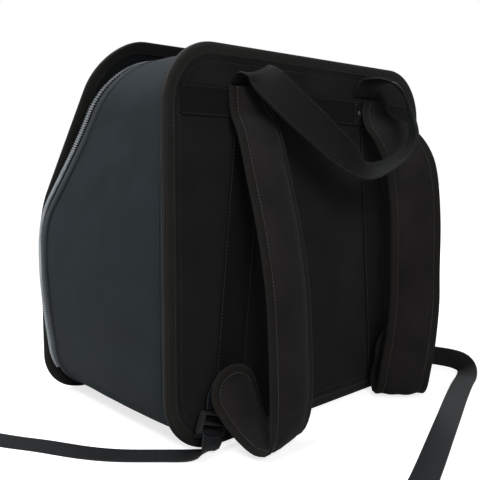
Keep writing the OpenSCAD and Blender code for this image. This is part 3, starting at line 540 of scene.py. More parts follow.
def stitch_line(piece, pts, faces, pitch=3.6, length=2.5, r=0.32, lift=0.15, mat=0):
    """A row of stitches along a line, each a short thread with rounded ends."""
    pts, faces = np.asarray(pts, float), np.asarray(faces, float)
    run = np.r_[0, np.cumsum(np.linalg.norm(np.diff(pts, axis=0), axis=1))]
    for k in range(int(run[-1] / pitch)):
        s = (k + 0.5) * pitch
        def spot(x):
            return np.array([np.interp(x, run, pts[:, i]) for i in range(3)])
        n = unit(np.array([np.interp(s, run, faces[:, i]) for i in range(3)]))
        a, b = spot(s - length / 2), spot(s + length / 2)
        d = unit(b - a)
        w = np.cross(d, n)
        rings = []
        for t, size, rise in ((0, 0.35, -0.25), (0.22, 1, 0.1), (0.78, 1, 0.1), (1, 0.35, -0.25)):
            mid = a + (b - a) * t + n * (lift + rise)
            rings.append([mid + (w * math.cos(q) + n * math.sin(q)) * r * size
                          for q in (math.pi / 4, 3 * math.pi / 4, 5 * math.pi / 4, 7 * math.pi / 4)])
        piece.grid(np.array(rings), sheet_uv([0, 1, 2, 3], [0, 1, 2, 3, 4]), wrap_b=True, mat=mat, caps=True)


def disc(piece, ring, faces_y, shares, mat=0):
    """Sheet over an outline: rings drawn in towards its middle."""
    mid = np.array([0.0, (ring[:, 1].max() + ring[:, 1].min()) / 2])
    grid = []
    for k, s in enumerate(shares):
        p = mid + (ring - mid) * s
        grid.append(np.c_[p[:, 0], faces_y(k, p[:, 0], p[:, 1]), p[:, 1]])
    grid = np.array(grid)
    closed = np.concatenate([grid, grid[:, :1]], axis=1)
    piece.grid(grid, closed[..., [0, 2]], wrap_b=True, mat=mat, caps=True)


# Back panel

def back_panel():
    ring, _, _ = outline(PANEL_W - 2 * TAPE_T, PANEL_H - 2 * TAPE_T, PANEL_R - TAPE_T, TAPE_T, pitch=4,
                         corner=24)
    shares = np.r_[0.02, np.linspace(0.08, 0.86, 36), np.linspace(0.87, 1.0, 40)]

    def front(k, x, z):
        y = panel_face(x, z)
        soft = np.array([swirl((a, 0, b), 38, 2) * 0.35 + swirl((a, 0, b), 90, 3) * 0.35 for a,
                         b in zip(x, z)])
        d = edge_distance(x, z, PANEL_W, PANEL_H, PANEL_R)
        return y + soft * step(13, 40, d)
    piece = Piece()
    disc(piece, ring, front, shares)
    disc(piece, ring, lambda k, x, z: np.full(len(x), BACK_Y + BOUND_T - TAPE_T),
         shares[::6].tolist() + [1.0])
    rim = [np.c_[ring[:, 0], np.full(len(ring), y), ring[:, 1]] for y in (BACK_Y + TAPE_T - 0.2, 0, 3)]
    rim = np.array(rim)
    piece.grid(rim, sheet_uv([0, 3, 6], np.arange(len(ring) + 1) * 5.0), wrap_b=True)
    obj = piece.build("back_panel", "case", [PANEL], "panel_cloth", ["back_cover"])


def bound_edge(name, body, slot, w, h, r, section, place, replaces, mat, seam, seam_face, wave=0.25):
    """Tape folded over the edge of a panel, with its row of stitches."""
    piece = Piece()
    columns, run = [], None
    for inset, across in section:
        ring, _, run = outline(w, h, r, 0, inset, corner=20, pitch=5)
        pos = place(ring, across)
        if inset > 2 and abs(across) > 0.1:
            away = np.array([swirl((p[0], 0, p[2]), 9, 5) for p in pos]) * wave * 0.5
            pos[:, 1] += away
        columns.append(pos)
    grid = np.array(columns).transpose(1, 0, 2)
    widths = girth(section)
    piece.grid(grid, sheet_uv(run, widths), wrap_a=True, wrap_b=True)
    inset, across = seam
    ring, _, _ = outline(w, h, r, 0, inset, corner=20, pitch=5)
    line = place(ring, across)
    line = np.r_[line, line[:1]]
    stitch_line(piece, line, seam_face(line), mat=1)
    return piece.build(name, body, [mat, THREAD], slot, replaces)


def back_edge():
    t = BOUND_T / 2
    section = [(12, -t + 1.0), (11.7, -t + 0.35), (10.5, -t + 0.1), (8, -t), (5, -t), (2.6, -t + 0.15),
               (1.1, -t + 0.9), (0.3, -t + 2.2), (0, 0), (0.3, t - 2.2), (1.1, t - 0.9), (2.6, t - 0.15),
               (5, t),
               (8, t), (11.7, t - 0.3), (12, t - 1), (6, t - 1.2), (1.6, t - 1.6), (1.3, 0), (1.6, -t + 1.6),
               (6, -t + 1.2)]
    bound_edge("back_binding_tape", "case", "edge_tape", PANEL_W, PANEL_H, PANEL_R, section,
               lambda ring, y: np.c_[ring[:, 0], np.full(len(ring), y), ring[:, 1]],
               ["back_binding"], EDGE_TAPE, (10.2, -t + 0.05),
               lambda line: np.tile([0.0, -1.0, 0.0], (len(line), 1)))


def panel_seam():
    """The second row of stitches, inside the bound edge."""
    piece = Piece()
    ring, _, _ = outline(PANEL_W, PANEL_H, PANEL_R, 0, 17.5, corner=16, pitch=6)
    line = np.c_[ring[:, 0], panel_face(ring[:, 0], ring[:, 1]) - 0.1, ring[:, 1]]
    line = np.r_[line, line[:1]]
    stitch_line(piece, line, np.tile([0.0, -1.0, 0.0], (len(line), 1)), pitch=3.4)
    piece.build("panel_stitches", "case", [THREAD], "panel_cloth")


# Gusset

def gusset_place(inset, t, d_front=EDGE_D):
    pts, _, run = mouth(inset, t)
    y0 = BACK_Y + BOUND_T
    y = y0 + (lid_y(pts[:, 1], d_front) - y0) * t
    return np.c_[pts[:, 0], y, pts[:, 1]], run


def gusset_shell():
    piece = Piece()
    stations = np.r_[0, 0.01, 0.03, np.linspace(0.05, 0.95, 40), 0.97, 0.985, 1.0]
    grid, run = [], None
    for t in stations:
        seam = 0.5 * math.exp(-((t * GUSSET_DEPTH - SEAM_DEPTH) / 1.6) ** 2)
        pad = 1.6 * math.sin(math.pi * min(max((t - 0.055) / 0.90, 0), 1)) ** 0.6 - seam - 0.4
        p, run = gusset_place(0, t)
        ref, _ = gusset_place(-1, t)
        out = ref - p
        soft = np.array([swirl(a, 60, 4) * 0.9 + swirl(a, 24, 6) * 0.25 for a in p])
        edge = math.sin(math.pi * t) ** 0.5 if 0 < t < 1 else 0
        grid.append(p + out * (pad + soft * edge)[:, None])
    inner = []
    for t in (1.0, 0.985, 0.5, 0.015, 0.0):
        inner.append(gusset_place(GUSSET_T, t)[0])
    grid = np.array(grid + inner)
    depth = np.r_[stations * GUSSET_DEPTH, 220, 224, 330, 430, 434, 439]
    piece.grid(grid, sheet_uv(depth, run), wrap_a=True, wrap_b=True)
    p, _ = gusset_place(0.2, SEAM_DEPTH / GUSSET_DEPTH)
    ref, _ = gusset_place(-1, SEAM_DEPTH / GUSSET_DEPTH)
    line = np.r_[p, p[:1]]
    face = unit(np.r_[ref - p, (ref - p)[:1]])
    stitch_line(piece, line, face, pitch=3.4, mat=1)
    obj = piece.build("gusset_padding", "case", [GUSSET_CLOTH, THREAD], "gusset_cloth", ["gusset"])


def mouth_strip(section, z_from=None):
    """Rings of a strip round the case's mouth. section is pairs of inset and depth below the lid's face."""
    cols, run = [], None
    for inset, d in section:
        pts, _, run = mouth(inset)
        cols.append(np.c_[pts[:, 0], lid_y(pts[:, 1], d), pts[:, 1]])
    grid = np.array(cols).transpose(1, 0, 2)
    if z_from is not None:
        pts, _, _ = mouth(TAPE_INSET)
        ok = np.where(pts[:, 1] >= z_from)[0]
        lo, hi = ok.min(), ok.max()
        return grid[lo:hi + 1], run[lo:hi + 1]
    return grid, run


def mouth_tape():
    section = [(0.1, 27.2), (-0.9, 26.6), (-1.15, 24), (-1.2, 21), (-1.0, 19.3), (-0.3, 18.7), (1.5, 18.6),
               (3.6, 18.7), (5.4, 18.7), (6.8, 18.9), (6.8, 20.5), (5, 20), (1, 20), (0, 20.4)]
    grid, run = mouth_strip(section)
    widths = girth(section)
    piece = Piece()
    piece.grid(grid, sheet_uv(run, widths), wrap_a=True, wrap_b=True)
    line, _ = mouth_strip([(-1.05, 25.4)])
    ref, _ = mouth_strip([(-3.0, 25.4)])
    line, ref = line[:, 0], ref[:, 0]
    face = unit(ref - line)
    stitch_line(piece, np.r_[line, line[:1]], np.r_[face, face[:1]], pitch=3.4, mat=1)
    piece.build("gusset_front_tape", "case", [GUSSET_TAPE, THREAD], "edge_tape", ["gusset_edge_tape"])


# Zipper

def zipper_tape(name, body, sewn, free, node):
    """sewn and free are the depths of the tape's two edges; the free edge bulges out under the teeth."""
    half = (sewn + free) / 2
    section = [(4.0, sewn), (2.8, half), (1.1, free), (1.9, free), (3.6, half), (4.8, sewn)]
    if sewn > free:
        section = section[::-1]
    grid, run = mouth_strip(section, 12.0)
    piece = Piece()
    piece.grid(grid, sheet_uv(run, np.r_[0, 3, 6, 7, 10, 13, 14]), wrap_b=True, caps=True)
    piece.build(name, body, [ZIP_TAPE], "zipper_tape", [node])


def zipper_coil(name, body, side, node):
    """One row of teeth. side is 1 for the case's row and -1 for the lid's."""
    pitch, r = 3.0, 0.72
    mids, _ = mouth_strip([(TEETH_INSET, CHAIN_D)], ZIP_END_Z)
    mids = mids[:, 0]
    outs, _ = mouth_strip([(TEETH_INSET - 1, CHAIN_D)], ZIP_END_Z)
    outs = unit(outs[:, 0] - mids)
    backs, _ = mouth_strip([(TEETH_INSET, CHAIN_D + 1)], ZIP_END_Z)
    backs = unit(backs[:, 0] - mids)
    s_run = np.r_[0, np.cumsum(np.linalg.norm(np.diff(mids, axis=0), axis=1))]
    piece = Piece()
    arch = ((3.3, -1.0), (3.25, 0.15), (2.0, 0.75), (0.2, 0.8), (-0.55, 0.35), (-0.6, -0.7))
    count = int((s_run[-1] - 2) / pitch)
    for k in range(count):
        s = 1 + (k + (0.25 if side > 0 else 0.75)) * pitch
        def pick(a, x):
            return np.array([np.interp(x, s_run, a[:, i]) for i in range(3)])
        out, back = unit(pick(outs, s)), unit(pick(backs, s))
        travel = unit(np.cross(out, back))
        path = [pick(mids, s) + back * side * across + out * rise + travel * (0.28 * across - 0.3)
                for across, rise in arch]
        rings = []
        for i, p in enumerate(path):
            h = unit(path[min(i + 1, len(path) - 1)] - path[max(i - 1, 0)])
            w = unit(travel - (travel @ h) * h)
            n = np.cross(h, w)
            size = 0.8 if i in (0, len(path) - 1) else 1.0
            rings.append([p + (w * math.cos(q) + n * math.sin(q)) * r * size
                          for q in np.arange(6) * math.pi / 3])
        piece.grid(np.array(rings), sheet_uv(np.arange(6), np.arange(7)), wrap_b=True, caps=True)
    piece.build(name, body, [COIL], "zipper_coil", [node])


# Lid

def lid_panel():
    ring, _, _ = outline(LID_W - 2 * TAPE_T, LID_H - 2 * TAPE_T, LID_R - TAPE_T, TAPE_T, pitch=6, corner=16)
    shares = np.r_[0.02, np.linspace(0.08, 0.86, 34), np.linspace(0.88, 1.0, 16)]
    depths = len(shares)

    def face(k, x, z):
        d = edge_distance(x, z, LID_W, LID_H, LID_R)
        if k < depths:
            crown = 2.4 * step(14, 70, d) + 0.5 * step(10, 14, d)
            groove = 0.7 * np.exp(-np.square((d - 17.5) / 1.3))
            soft = np.array([swirl((a, 9, b), 55, 8) * 0.7 for a, b in zip(x, z)]) * step(14, 50, d)
            return rolled(lid_y(z, 1.3 - crown + groove + soft), z, 5)
        return rolled(lid_y(z, 5.0), z, 5)
    piece = Piece()
    disc(piece, ring, face, np.r_[shares, shares[::-3]])
    obj = piece.build("lid_padding", "lid", [LID_CLOTH], "lid_cloth", ["lid_cover"])


def lid_edge():
    section = [(12, 1.0), (11.7, 0.4), (10, 0.1), (6, 0), (2.6, 0.15), (1.0, 0.8), (0.25, 1.8), (0, 3),
               (0.25, 4.2),
               (1.0, 5.2), (2.6, 5.85), (6, 6), (10, 5.9), (11.7, 5.6), (12, 5.0), (6, 4.9), (1.5, 4.4),
               (1.2, 3),
               (1.5, 1.6), (6, 1.1)]
    piece = Piece()
    cols, run = [], None
    for inset, d in section:
        ring, _, run = outline(LID_W, LID_H, LID_R, 0, inset, corner=20, pitch=5)
        soft = np.array([swirl((p[0], 7, p[1]), 9, 5) for p in ring]) * (0.12 if inset > 2 else 0)
        cols.append(np.c_[ring[:, 0], rolled(lid_y(ring[:, 1], d + soft), ring[:, 1], 6), ring[:, 1]])
    widths = girth(section)
    piece.grid(np.array(cols).transpose(1, 0, 2), sheet_uv(run, widths), wrap_a=True, wrap_b=True)
    for inset, d, away in ((10.2, 0.15, -1), (10.2, 5.9, 1)):
        ring, _, _ = outline(LID_W, LID_H, LID_R, 0, inset, corner=20, pitch=5)
        line = np.c_[ring[:, 0], rolled(lid_y(ring[:, 1], d), ring[:, 1], 6), ring[:, 1]]
        ref = np.c_[ring[:, 0], rolled(lid_y(ring[:, 1], d + away), ring[:, 1], 7), ring[:, 1]]
        face = unit(ref - line + np.array([0, 1e-6 * -away, 0]))
        stitch_line(piece, np.r_[line, line[:1]], np.r_[face, face[:1]], mat=1)
    piece.build("lid_binding_tape", "lid", [EDGE_TAPE, THREAD], "edge_tape", ["lid_binding"])


def hinge_cloth():
    """Cloth between the gusset's lower front edge and the lid."""
    top = [(219, 7.5), (222, 7.4), (225, 7.2), (228, 7.0), (231, 7.0), (233.4, 7.2), (234.7, 7.9),
           (235.3, 9.5),
           (235.4, 12.0)]
    low = [(y + (0.0 if z < 7.6 else 0.45), z - (0.7 if y < 234 else 0.2)) for y, z in top[::-1]]
    loop = top + low
    xs = np.linspace(-139, 139, 48)
    grid = np.array([[[x, y, z + 0.15 * swirl((x, y, 0), 14, 9)] for y, z in loop] for x in xs])
    piece = Piece()
    piece.grid(grid, sheet_uv(xs, np.arange(len(loop) + 1) * 2.0), wrap_b=True, caps=True)
    obj = piece.build("hinge_cloth", None, [ZIP_TAPE], "hinge_cloth", ["lid_hinge_strip", "lid_hinge_flap"])
    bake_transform(obj)


# Inside

def back_lining():
    inset = GUSSET_T + 0.2 + LINING_T + 0.2 + 1
    ring, _, _ = outline(2 * (GUSSET_HALF_W - inset), GUSSET_TOP - LOW - 2 * inset, GUSSET_R - inset,
                         LOW + inset,
                         pitch=8)
    y0 = BACK_Y + TAPE_T + 6 + BOARD_T
    shares = np.r_[0.03, np.linspace(0.1, 1.0, 24)]
    n = len(shares)

    def face(k, x, z):
        if k < n:
            return y0 + LINING_T - 0.2 + np.array([swirl((a, 3, b), 30, 11) * 0.25 for a, b in zip(x, z)])
        return np.full(len(x), y0 + 0.05)
    piece = Piece()
    disc(piece, ring, face, np.r_[shares, shares[::-4]])
    obj = piece.build("back_lining_cloth", "case", [LINING], "lining_cloth", ["back_lining"])


def gusset_lining():
    piece = Piece()
    outer, inner, run = [], [], None
    ts = np.linspace(0, 1, 22)
    for t in ts:
        p, run = gusset_place(GUSSET_T + 0.2, t)
        outer.append(p)
        q, _ = gusset_place(GUSSET_T + 0.2 + LINING_T, t)
        soft = np.array([swirl(a, 34, 12) for a in q]) * 0.3 * math.sin(math.pi * t)
        inner.append(q + (p - q) * 0.3 * soft[:, None])
    grid = np.array(outer + inner[::-1])
    depth = np.r_[ts * GUSSET_DEPTH, 217 + ts * GUSSET_DEPTH, 434]
    piece.grid(grid, sheet_uv(depth, run), wrap_a=True, wrap_b=True)
    obj = piece.build("gusset_lining_cloth", "case", [LINING], "lining_cloth", ["gusset_lining"])


def lid_lining():
    w = 2 * (GUSSET_HALF_W - 14 + 1)
    top = GUSSET_TOP - TAPE_INSET - 7
    z0 = 20 - 1
    ring, _, _ = outline(w, top - 20 + 2, GUSSET_R - 14 + 1, z0, pitch=8)
    shares = np.r_[0.03, np.linspace(0.1, 1.0, 26)]
    n = len(shares)

    def face(k, x, z):
        if k < n:
            return lid_y(z, 9.4 + np.array([swirl((a, 5, b), 30, 13) * 0.25 for a, b in zip(x, z)]))
        return lid_y(z, 8.05)
    piece = Piece()
    disc(piece, ring, face, np.r_[shares, shares[::-3]])
    obj = piece.build("lid_lining_cloth", "lid", [LINING], "lining_cloth", ["lid_lining"])


# Webbing on the back panel

def flat_route(a, b, out=WEBBING_T / 2, width=(0, 0, 1), steps=60):
    """Straight route over the back panel's face, from one (x, z) to another."""
    t = np.linspace(0, 1, steps)
    x, z = a[0] + (b[0] - a[0]) * t, a[1] + (b[1] - a[1]) * t
    y = np.minimum(panel_face(x, z), BACK_Y + TAPE_T) - out
    return Route(np.c_[x, y, z], np.tile(width, (steps, 1)))


def panel_webbing():
    half = PANEL_W / 2 - BINDING_W - 6
    band = flat_route((-half, BAND_Z), (half, BAND_Z))
    piece = ribbon(band, BAND_W, 1.5, cells=6, pitch=6)
    for u in (-BAND_W / 2 + 2, BAND_W / 2 - 2):
        s = np.linspace(1, band.length - 1, 60)
        stitch_line(piece, band.at(s, u, 0.8), band.face(s), mat=1)
    for x in (-98, 82):
        c = half + x
        for (s0, u0), (s1, u1) in (((-16, -11), (16, 11)), ((-16, 11), (16, -11)), ((-16, -11), (-16, 11)),
                                   ((16, -11), (16, 11))):
            t = np.linspace(0, 1, 6)
            s = c + s0 + (s1 - s0) * t
            stitch_line(piece, band.at(s, u0 + (u1 - u0) * t, 0.8), band.face(s), mat=1)
    piece.build("shoulder_band_webbing", "case", [WEBBING, THREAD], "webbing", ["shoulder_band"])
    for side, name in ((-1, "left"), (1, "right")):
        route = flat_route((side * 95, BAND_Z - BAND_W / 2 + 0.3), (side * 123, BINDING_W + 6), 0.72,
                           (1, 0, 0))
        piece = ribbon(route, BACK_WEBBING_W, 1.4, cells=6, pitch=8)
        for u in (-BACK_WEBBING_W / 2 + 2.2, BACK_WEBBING_W / 2 - 2.2):
            s = np.linspace(1, route.length - 1, 60)
            stitch_line(piece, route.at(s, u, 0.75 * (1 if route.face(50.0)[1] < 0 else -1)),
                        np.tile([0.0, -1.0, 0.0], (60, 1)), mat=1)
        piece.build(name + "_back_strap", "case", [WEBBING, THREAD], "webbing", [name + "_back_webbing"])


def rivets():
    piece = Piece()
    for side in (-1, 1):
        profile = ((4.4, 0.0, 1), (4.4, 0.45, 1), (3.4, 0.7, 1), (3.0, 0.6, 1), (2.9, 0.8, 0), (2.5, 1.15, 0),
                   (1.6, 1.4, 0), (0.5, 1.5, 0))
        y = BACK_Y + TAPE_T - WEBBING_T
        for mat in (0, 1):
            rows = [p for p in profile if p[2] == mat]
            if mat == 0:
                rows = [(3.0, 0.5, 0)] + rows
            grid = [[(side * RIVET_X + r * math.cos(q), y - h, BAND_Z + r * math.sin(q))
                     for q in np.arange(24) * math.pi / 12] for r, h, _ in rows]
            piece.grid(np.array(grid), sheet_uv(np.arange(len(rows)), np.arange(25)), wrap_b=True, mat=mat,
                       caps=True)
    piece.build("rivet_heads", "case", [RIVET, RIVET_RING], "rivet_metal", ["handle_rivets"], sharp=40)


def retaining():
    half = GUSSET_HALF_W - 30
    y = BACK_Y + TAPE_T + 6 + BOARD_T + LINING_T
    z = 190 + BACK_WEBBING_W / 2
    piece = Piece()
    for a, b, h in ((-half, half, 0.8), (-45, 45, 2.4)):
        route = Route(np.c_[np.linspace(a, b, 40), np.full(40, y + h), np.full(40, z)],
                      np.tile([0, 0, 1], (40, 1)))
        ribbon(route, BACK_WEBBING_W, 1.4, cells=6, pitch=8, piece=piece, wave=0.1)
    piece.build("retaining_webbing", "case", [WEBBING], "webbing", ["retaining_strap"])


def handle():
    route = from_construction(HANDLE)
    piece = ribbon(route, 38, 1.9, cup=-0.5, cells=10, pitch=4, wave=0.35, seed=3)
    for u in (-16.5, 16.5):
        s = np.linspace(16, route.length - 16, 160)
        for h, sign in ((0.9, 1), (-0.9, -1)):
            stitch_line(piece, route.at(s, u, h - 0.5 * (u / 19) ** 2), route.face(s) * sign, mat=1)
    piece.build("handle_webbing", "handle", [HANDLE_WEBBING, THREAD], "webbing", ["carry_handle"])


# Shoulder straps

def tongue(half, s):
    return np.where(s >= half, half, np.sqrt(np.maximum(half ** 2 - (half - np.minimum(s, half)) ** 2, 0)))


def strap(name, route_points, side):
    route = from_construction(route_points, side * STRAP_X)
    total = route.length
    inward = -side

    def trim(below):
        return np.maximum(0, 1 - below / STRAP_TAPER) * (STRAP_W - STRAP_SEAM_W)

    def plump(s):
        flat, full = STRAP_EDGE_T / 2, STRAP_T / 2
        rise = flat + np.maximum(0, s - 22) * 0.13
        fall = flat + np.maximum(0, total - s - STRAP_BINDING) * 0.22
        return np.minimum(full, np.minimum(rise, fall))

    # Padding
    half = STRAP_W / 2 - STRAP_BINDING + 1.5
    last = total - STRAP_BINDING + 1.0
    body_s = np.r_[np.linspace(0, last - half, 110),
                   last - half + half * np.sin(np.linspace(0, math.pi / 2 * 0.985, 14)[1:])]
    share = np.r_[np.linspace(-1, 1, 19)]
    piece = Piece()
    grid = []
    for s in body_s:
        to_tip = total - s
        b = float(tongue(half, to_tip - STRAP_BINDING + 1.0))
        cut = float(trim(s)) / 2
        mid = -inward * cut
        b = max(b - cut, 0.5)
        top = float(plump(s))
        us = mid + share * b
        hs = STRAP_EDGE_T / 2 - 0.5 + (top - STRAP_EDGE_T / 2 + 0.5) * (1 - np.abs(share) ** 2.6) ** 0.75
        front = np.array([swirl((u, s, 0), 15, 14 + side) * 0.55 + swirl((u * 0.35, s, 0), 9,
                                                                         15 + side) * 0.45
                          for u in us])
        back = np.array([swirl((u, s, 5), 15, 17 + side) * 0.5 for u in us])
        soft = (1 - share ** 4) * min(1, max(0, (s - 14) / 20))
        grid.append(np.r_[route.at(s, us, hs + front * soft - 0.3 * soft),
                          route.at(s, us[::-1], -(hs + back * soft - 0.3 * soft)[::-1])])
    grid = np.array(grid)
    around = np.r_[share * 20, 40 + share * 20, 62]
    piece.grid(grid, sheet_uv(body_s, around), wrap_b=True, caps=True)
    pad = piece.build(name + "_strap_padding", name + "_strap", [STRAP_CLOTH], "strap_cloth",
                      [name + "_strap"])

    # Tape folded over the edge, from the seam down one side, round the tip and up the other
    r = STRAP_W / 2
    line = []
    straight = np.linspace(0, total - r, 90)
    for s in straight:
        line.append((-r + (float(trim(s)) if inward < 0 else 0), s))
    for q in np.linspace(0, math.pi, 30)[1:-1]:
        line.append((-r * math.cos(q), total - r + r * math.sin(q)))
    for s in straight[::-1]:
        line.append((r - (float(trim(s)) if inward > 0 else 0), s))
    line = np.array(line)
    d = np.gradient(line, axis=0)
    d = d / np.linalg.norm(d, axis=1)[:, None]
    inn = np.c_[d[:, 1], -d[:, 0]]
    if (inn[0] @ np.array([1.0, 0.0])) < 0:
        inn = -inn
    e = STRAP_EDGE_T / 2
    section = [(10, e - 0.8), (9.7, e - 0.05), (8, e + 0.1), (4, e + 0.05), (1.6, e - 0.25), (0.5, e - 0.9),
               (0, 0),
               (0.5, -e + 0.9), (1.6, -e + 0.25), (4, -e - 0.05), (8, -e - 0.1), (9.7, -e + 0.05),
               (10, -e + 0.8),
               (5, -e + 1.0), (1.2, 0), (5, e - 1.0)]
    run = np.r_[0, np.cumsum(np.linalg.norm(np.diff(line, axis=0), axis=1))]
    grid = []
    for k in range(len(line)):
        row = []
        for inset, h in section:
            u, s = line[k] + inn[k] * inset
            pucker = 0.18 * swirl((run[k], inset, h), 7, 20 + side) if inset > 2 and abs(h) > e - 0.5 else 0
            row.append(route.at(s, u, h + math.copysign(pucker, h) if h else h))
        grid.append(row)
    widths = girth(section)
    tape = Piece()
    tape.grid(np.array(grid), sheet_uv(run, widths), wrap_b=True, caps=True)
    for face_side in (1, -1):
        seam = np.array([route.at(*(line[k] + inn[k] * 8.3)[::-1], face_side * (e + 0.1))
                         for k in range(len(line))])
        faces = np.array([route.face(line[k][1]) * face_side for k in range(len(line))])
        stitch_line(tape, seam, faces, pitch=3.2, length=2.3, mat=1)
    tape.build(name + "_strap_edge", name + "_strap", [STRAP_TAPE, PALE_THREAD], "strap_tape",
               [name + "_strap_binding"])


def adjuster(name, points):
    route = from_construction(points)
    piece = ribbon(route, 25, 1.5, cells=6, pitch=3)
    piece.build(name + "_adjuster_webbing", name + "_strap", [TAIL_WEBBING], "webbing", [name + "_adjuster"])


def lock_loop(name, side):
    """Webbing tab sewn below the panel's foot, round the lock's lower bar."""
    bar_z, r = -9.25, 2.85
    path = [(9.6, bar_z - 7.2), (6.5, bar_z - 6.3), (3.2, bar_z - 4.4)]
    for k in range(19):
        q = math.radians(-70 - k * 270 / 18 + 10)
        path.append((r * math.cos(q) * 1.0, bar_z + r * math.sin(q)))
    path += [(3.4, bar_z - 2.2), (6.5, bar_z - 4.2), (9.6, bar_z - 5.4)]
    path = along([(p[0], p[1]) for p in path], 3)
    turn = -side * LOCK_TURN
    c, s = math.cos(turn), math.sin(turn)
    pts, wid = [], []
    for y, z in path:
        pts.append((side * LOCK_X + z * s, BACK_Y - LOCK_OUT + y, LOCK_Z + z * c))
        wid.append((c, 0, -s))
    piece = ribbon(Route(np.array(pts), np.array(wid)), 25, 1.3, cells=4, pitch=0.9)
    piece.build(name + "_tab_webbing", "case", [TAIL_WEBBING], "webbing", [name + "_lock_tab"])


def tail(name, points):
    route = from_construction(points, steps=10)
    piece = ribbon(route, 25, 1.5, cells=6, pitch=4)
    # The free end is folded back
    side = 1.5 if route.face(route.length)[2] > 0 else -1.5
    places_back = route.at(np.linspace(route.length - 28, route.length - 0.5, 12), 0, side)
    fold = Route(places_back, np.tile(route.u[-1], (12, 1)))
    ribbon(fold, 24.4, 1.3, cells=6, pitch=4, piece=piece)
    obj = piece.build(name + "_tail_webbing", "case", [TAIL_WEBBING], "webbing", [name + "_tail"])
    centre = [tuple(p * 0.001) for p in route.at(np.linspace(0, route.length, 40))]


# Stage and light

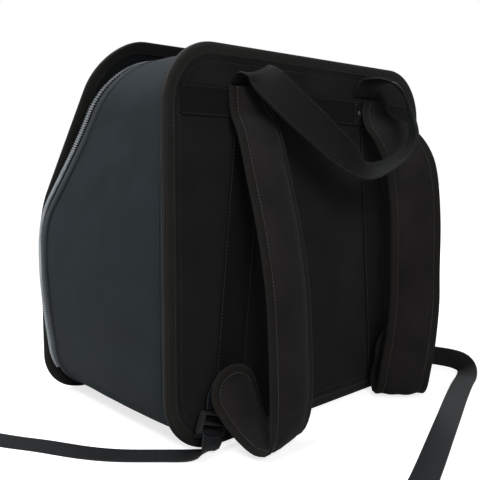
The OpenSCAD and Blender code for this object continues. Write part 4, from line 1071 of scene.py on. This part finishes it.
def floor_and_light():
    size = 6.0
    mesh = bpy.data.meshes.new("floor")
    mesh.from_pydata([(-size, -size, 0), (size, -size, 0), (size, size, 0), (-size, size, 0)], [],
                     [(0, 1, 2, 3)])
    floor = bpy.data.objects.new("floor", mesh)
    bpy.context.scene.collection.objects.link(floor)
    m, nodes, links, shader = material("floor_paper")
    shader.inputs["Base Color"].default_value = (0.40, 0.40, 0.40, 1)
    shader.inputs["Roughness"].default_value = 0.9
    glow = nodes.new("ShaderNodeEmission")
    place = nodes.new("ShaderNodeNewGeometry")
    reach = nodes.new("ShaderNodeVectorMath")
    reach.operation = "LENGTH"
    links.new(place.outputs["Position"], reach.inputs[0])
    fade = nodes.new("ShaderNodeMapRange")
    for k, v in zip(("From Min", "From Max", "To Min", "To Max"), (0.35, 1.2, 0.74, 1.0)):
        fade.inputs[k].default_value = v
    links.new(reach.outputs["Value"], fade.inputs["Value"])
    links.new(fade.outputs[0], glow.inputs["Strength"])
    add = nodes.new("ShaderNodeAddShader")
    pale = nodes.new("ShaderNodeBsdfDiffuse")
    pale.inputs["Color"].default_value = (0.55, 0.55, 0.55, 1)
    links.new(pale.outputs[0], add.inputs[0])
    links.new(glow.outputs[0], add.inputs[1])
    rays = nodes.new("ShaderNodeLightPath")
    mix = nodes.new("ShaderNodeMixShader")
    links.new(rays.outputs["Is Camera Ray"], mix.inputs[0])
    links.new(shader.outputs[0], mix.inputs[1])
    links.new(add.outputs[0], mix.inputs[2])
    links.new(mix.outputs[0], nodes["Material Output"].inputs[0])
    mesh.materials.append(m)

    world = bpy.data.worlds.new("studio")
    bpy.context.scene.world = world
    world.use_nodes = True
    nodes, links = world.node_tree.nodes, world.node_tree.links
    soft = nodes["Background"]
    soft.inputs["Color"].default_value = (0.90, 0.95, 1.0, 1)
    soft.inputs["Strength"].default_value = 0.22
    white = nodes.new("ShaderNodeBackground")
    white.inputs["Color"].default_value = (1, 1, 1, 1)
    white.inputs["Strength"].default_value = 1.0
    rays = nodes.new("ShaderNodeLightPath")
    seen = math_node(nodes, links, "MAXIMUM", rays.outputs["Is Camera Ray"],
                     rays.outputs["Is Transmission Ray"])
    mix = nodes.new("ShaderNodeMixShader")
    links.new(seen, mix.inputs[0])
    links.new(soft.outputs[0], mix.inputs[1])
    links.new(white.outputs[0], mix.inputs[2])
    links.new(mix.outputs[0], nodes["World Output"].inputs[0])

    def lamp(name, place, target, size, power, color=(1, 1, 1)):
        data = bpy.data.lights.new(name, "AREA")
        data.size = size
        data.energy = power
        data.color = color
        obj = bpy.data.objects.new(name, data)
        obj.location = place
        obj.rotation_mode = "QUATERNION"
        obj.rotation_quaternion = (Vector(target) - Vector(place)).to_track_quat("-Z", "Y")
        bpy.context.scene.collection.objects.link(obj)
    lamp("key", (-0.75, 0.25, 1.55), (-0.1, 0.1, 0.3), 0.9, 34, (0.93, 0.98, 1.0))
    lamp("fill", (-0.9, -1.7, 1.3), (0, 0.0, 0.2), 0.9, 26, (1.0, 0.97, 0.96))
    lamp("rim", (1.4, 1.2, 1.6), (0, 0.1, 0.3), 1.2, 12)


tail("left", LEFT_TAIL)
tail("right", RIGHT_TAIL)
back_panel()
back_edge()
panel_seam()
gusset_shell()
mouth_tape()
zipper_tape("lid_zipper_tape", "lid", LID_T - 0.4, CHAIN_D - 1, "zipper_tape_lid")
zipper_tape("case_zipper_tape", "case", EDGE_D, CHAIN_D + 1, "zipper_tape_case")
zipper_coil("lid_zipper_teeth", "lid", -1, "zipper_coil_lid")
zipper_coil("case_zipper_teeth", "case", 1, "zipper_coil_case")
lid_panel()
lid_edge()
hinge_cloth()
back_lining()
gusset_lining()
lid_lining()
panel_webbing()
rivets()
retaining()
handle()
strap("left", LEFT_STRAP, -1)
strap("right", RIGHT_STRAP, 1)
adjuster("left", LEFT_ADJUSTER)
adjuster("right", RIGHT_ADJUSTER)
lock_loop("left", -1)
lock_loop("right", 1)


def dress(node, mat, bevel=None):
    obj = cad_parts[node]
    obj.data.materials.clear()
    obj.data.materials.append(mat)
    if bevel:
        mod = obj.modifiers.new("soften", "BEVEL")
        mod.width = bevel * 0.001
        mod.segments = 3
        mod.limit_method = "ANGLE"


for node in ("left_slider", "right_slider", "left_pull", "right_pull", "zipper_stops"):
    dress(node, SLIDER, 0.25)
for node in ("left_lock", "right_lock"):
    dress(node, LOCK, 0.4)
for node in ("back_board", "base_board", "lid_board"):
    dress(node, BOARD)

floor_and_light()
bpy.context.scene.view_settings.view_transform = "Standard"
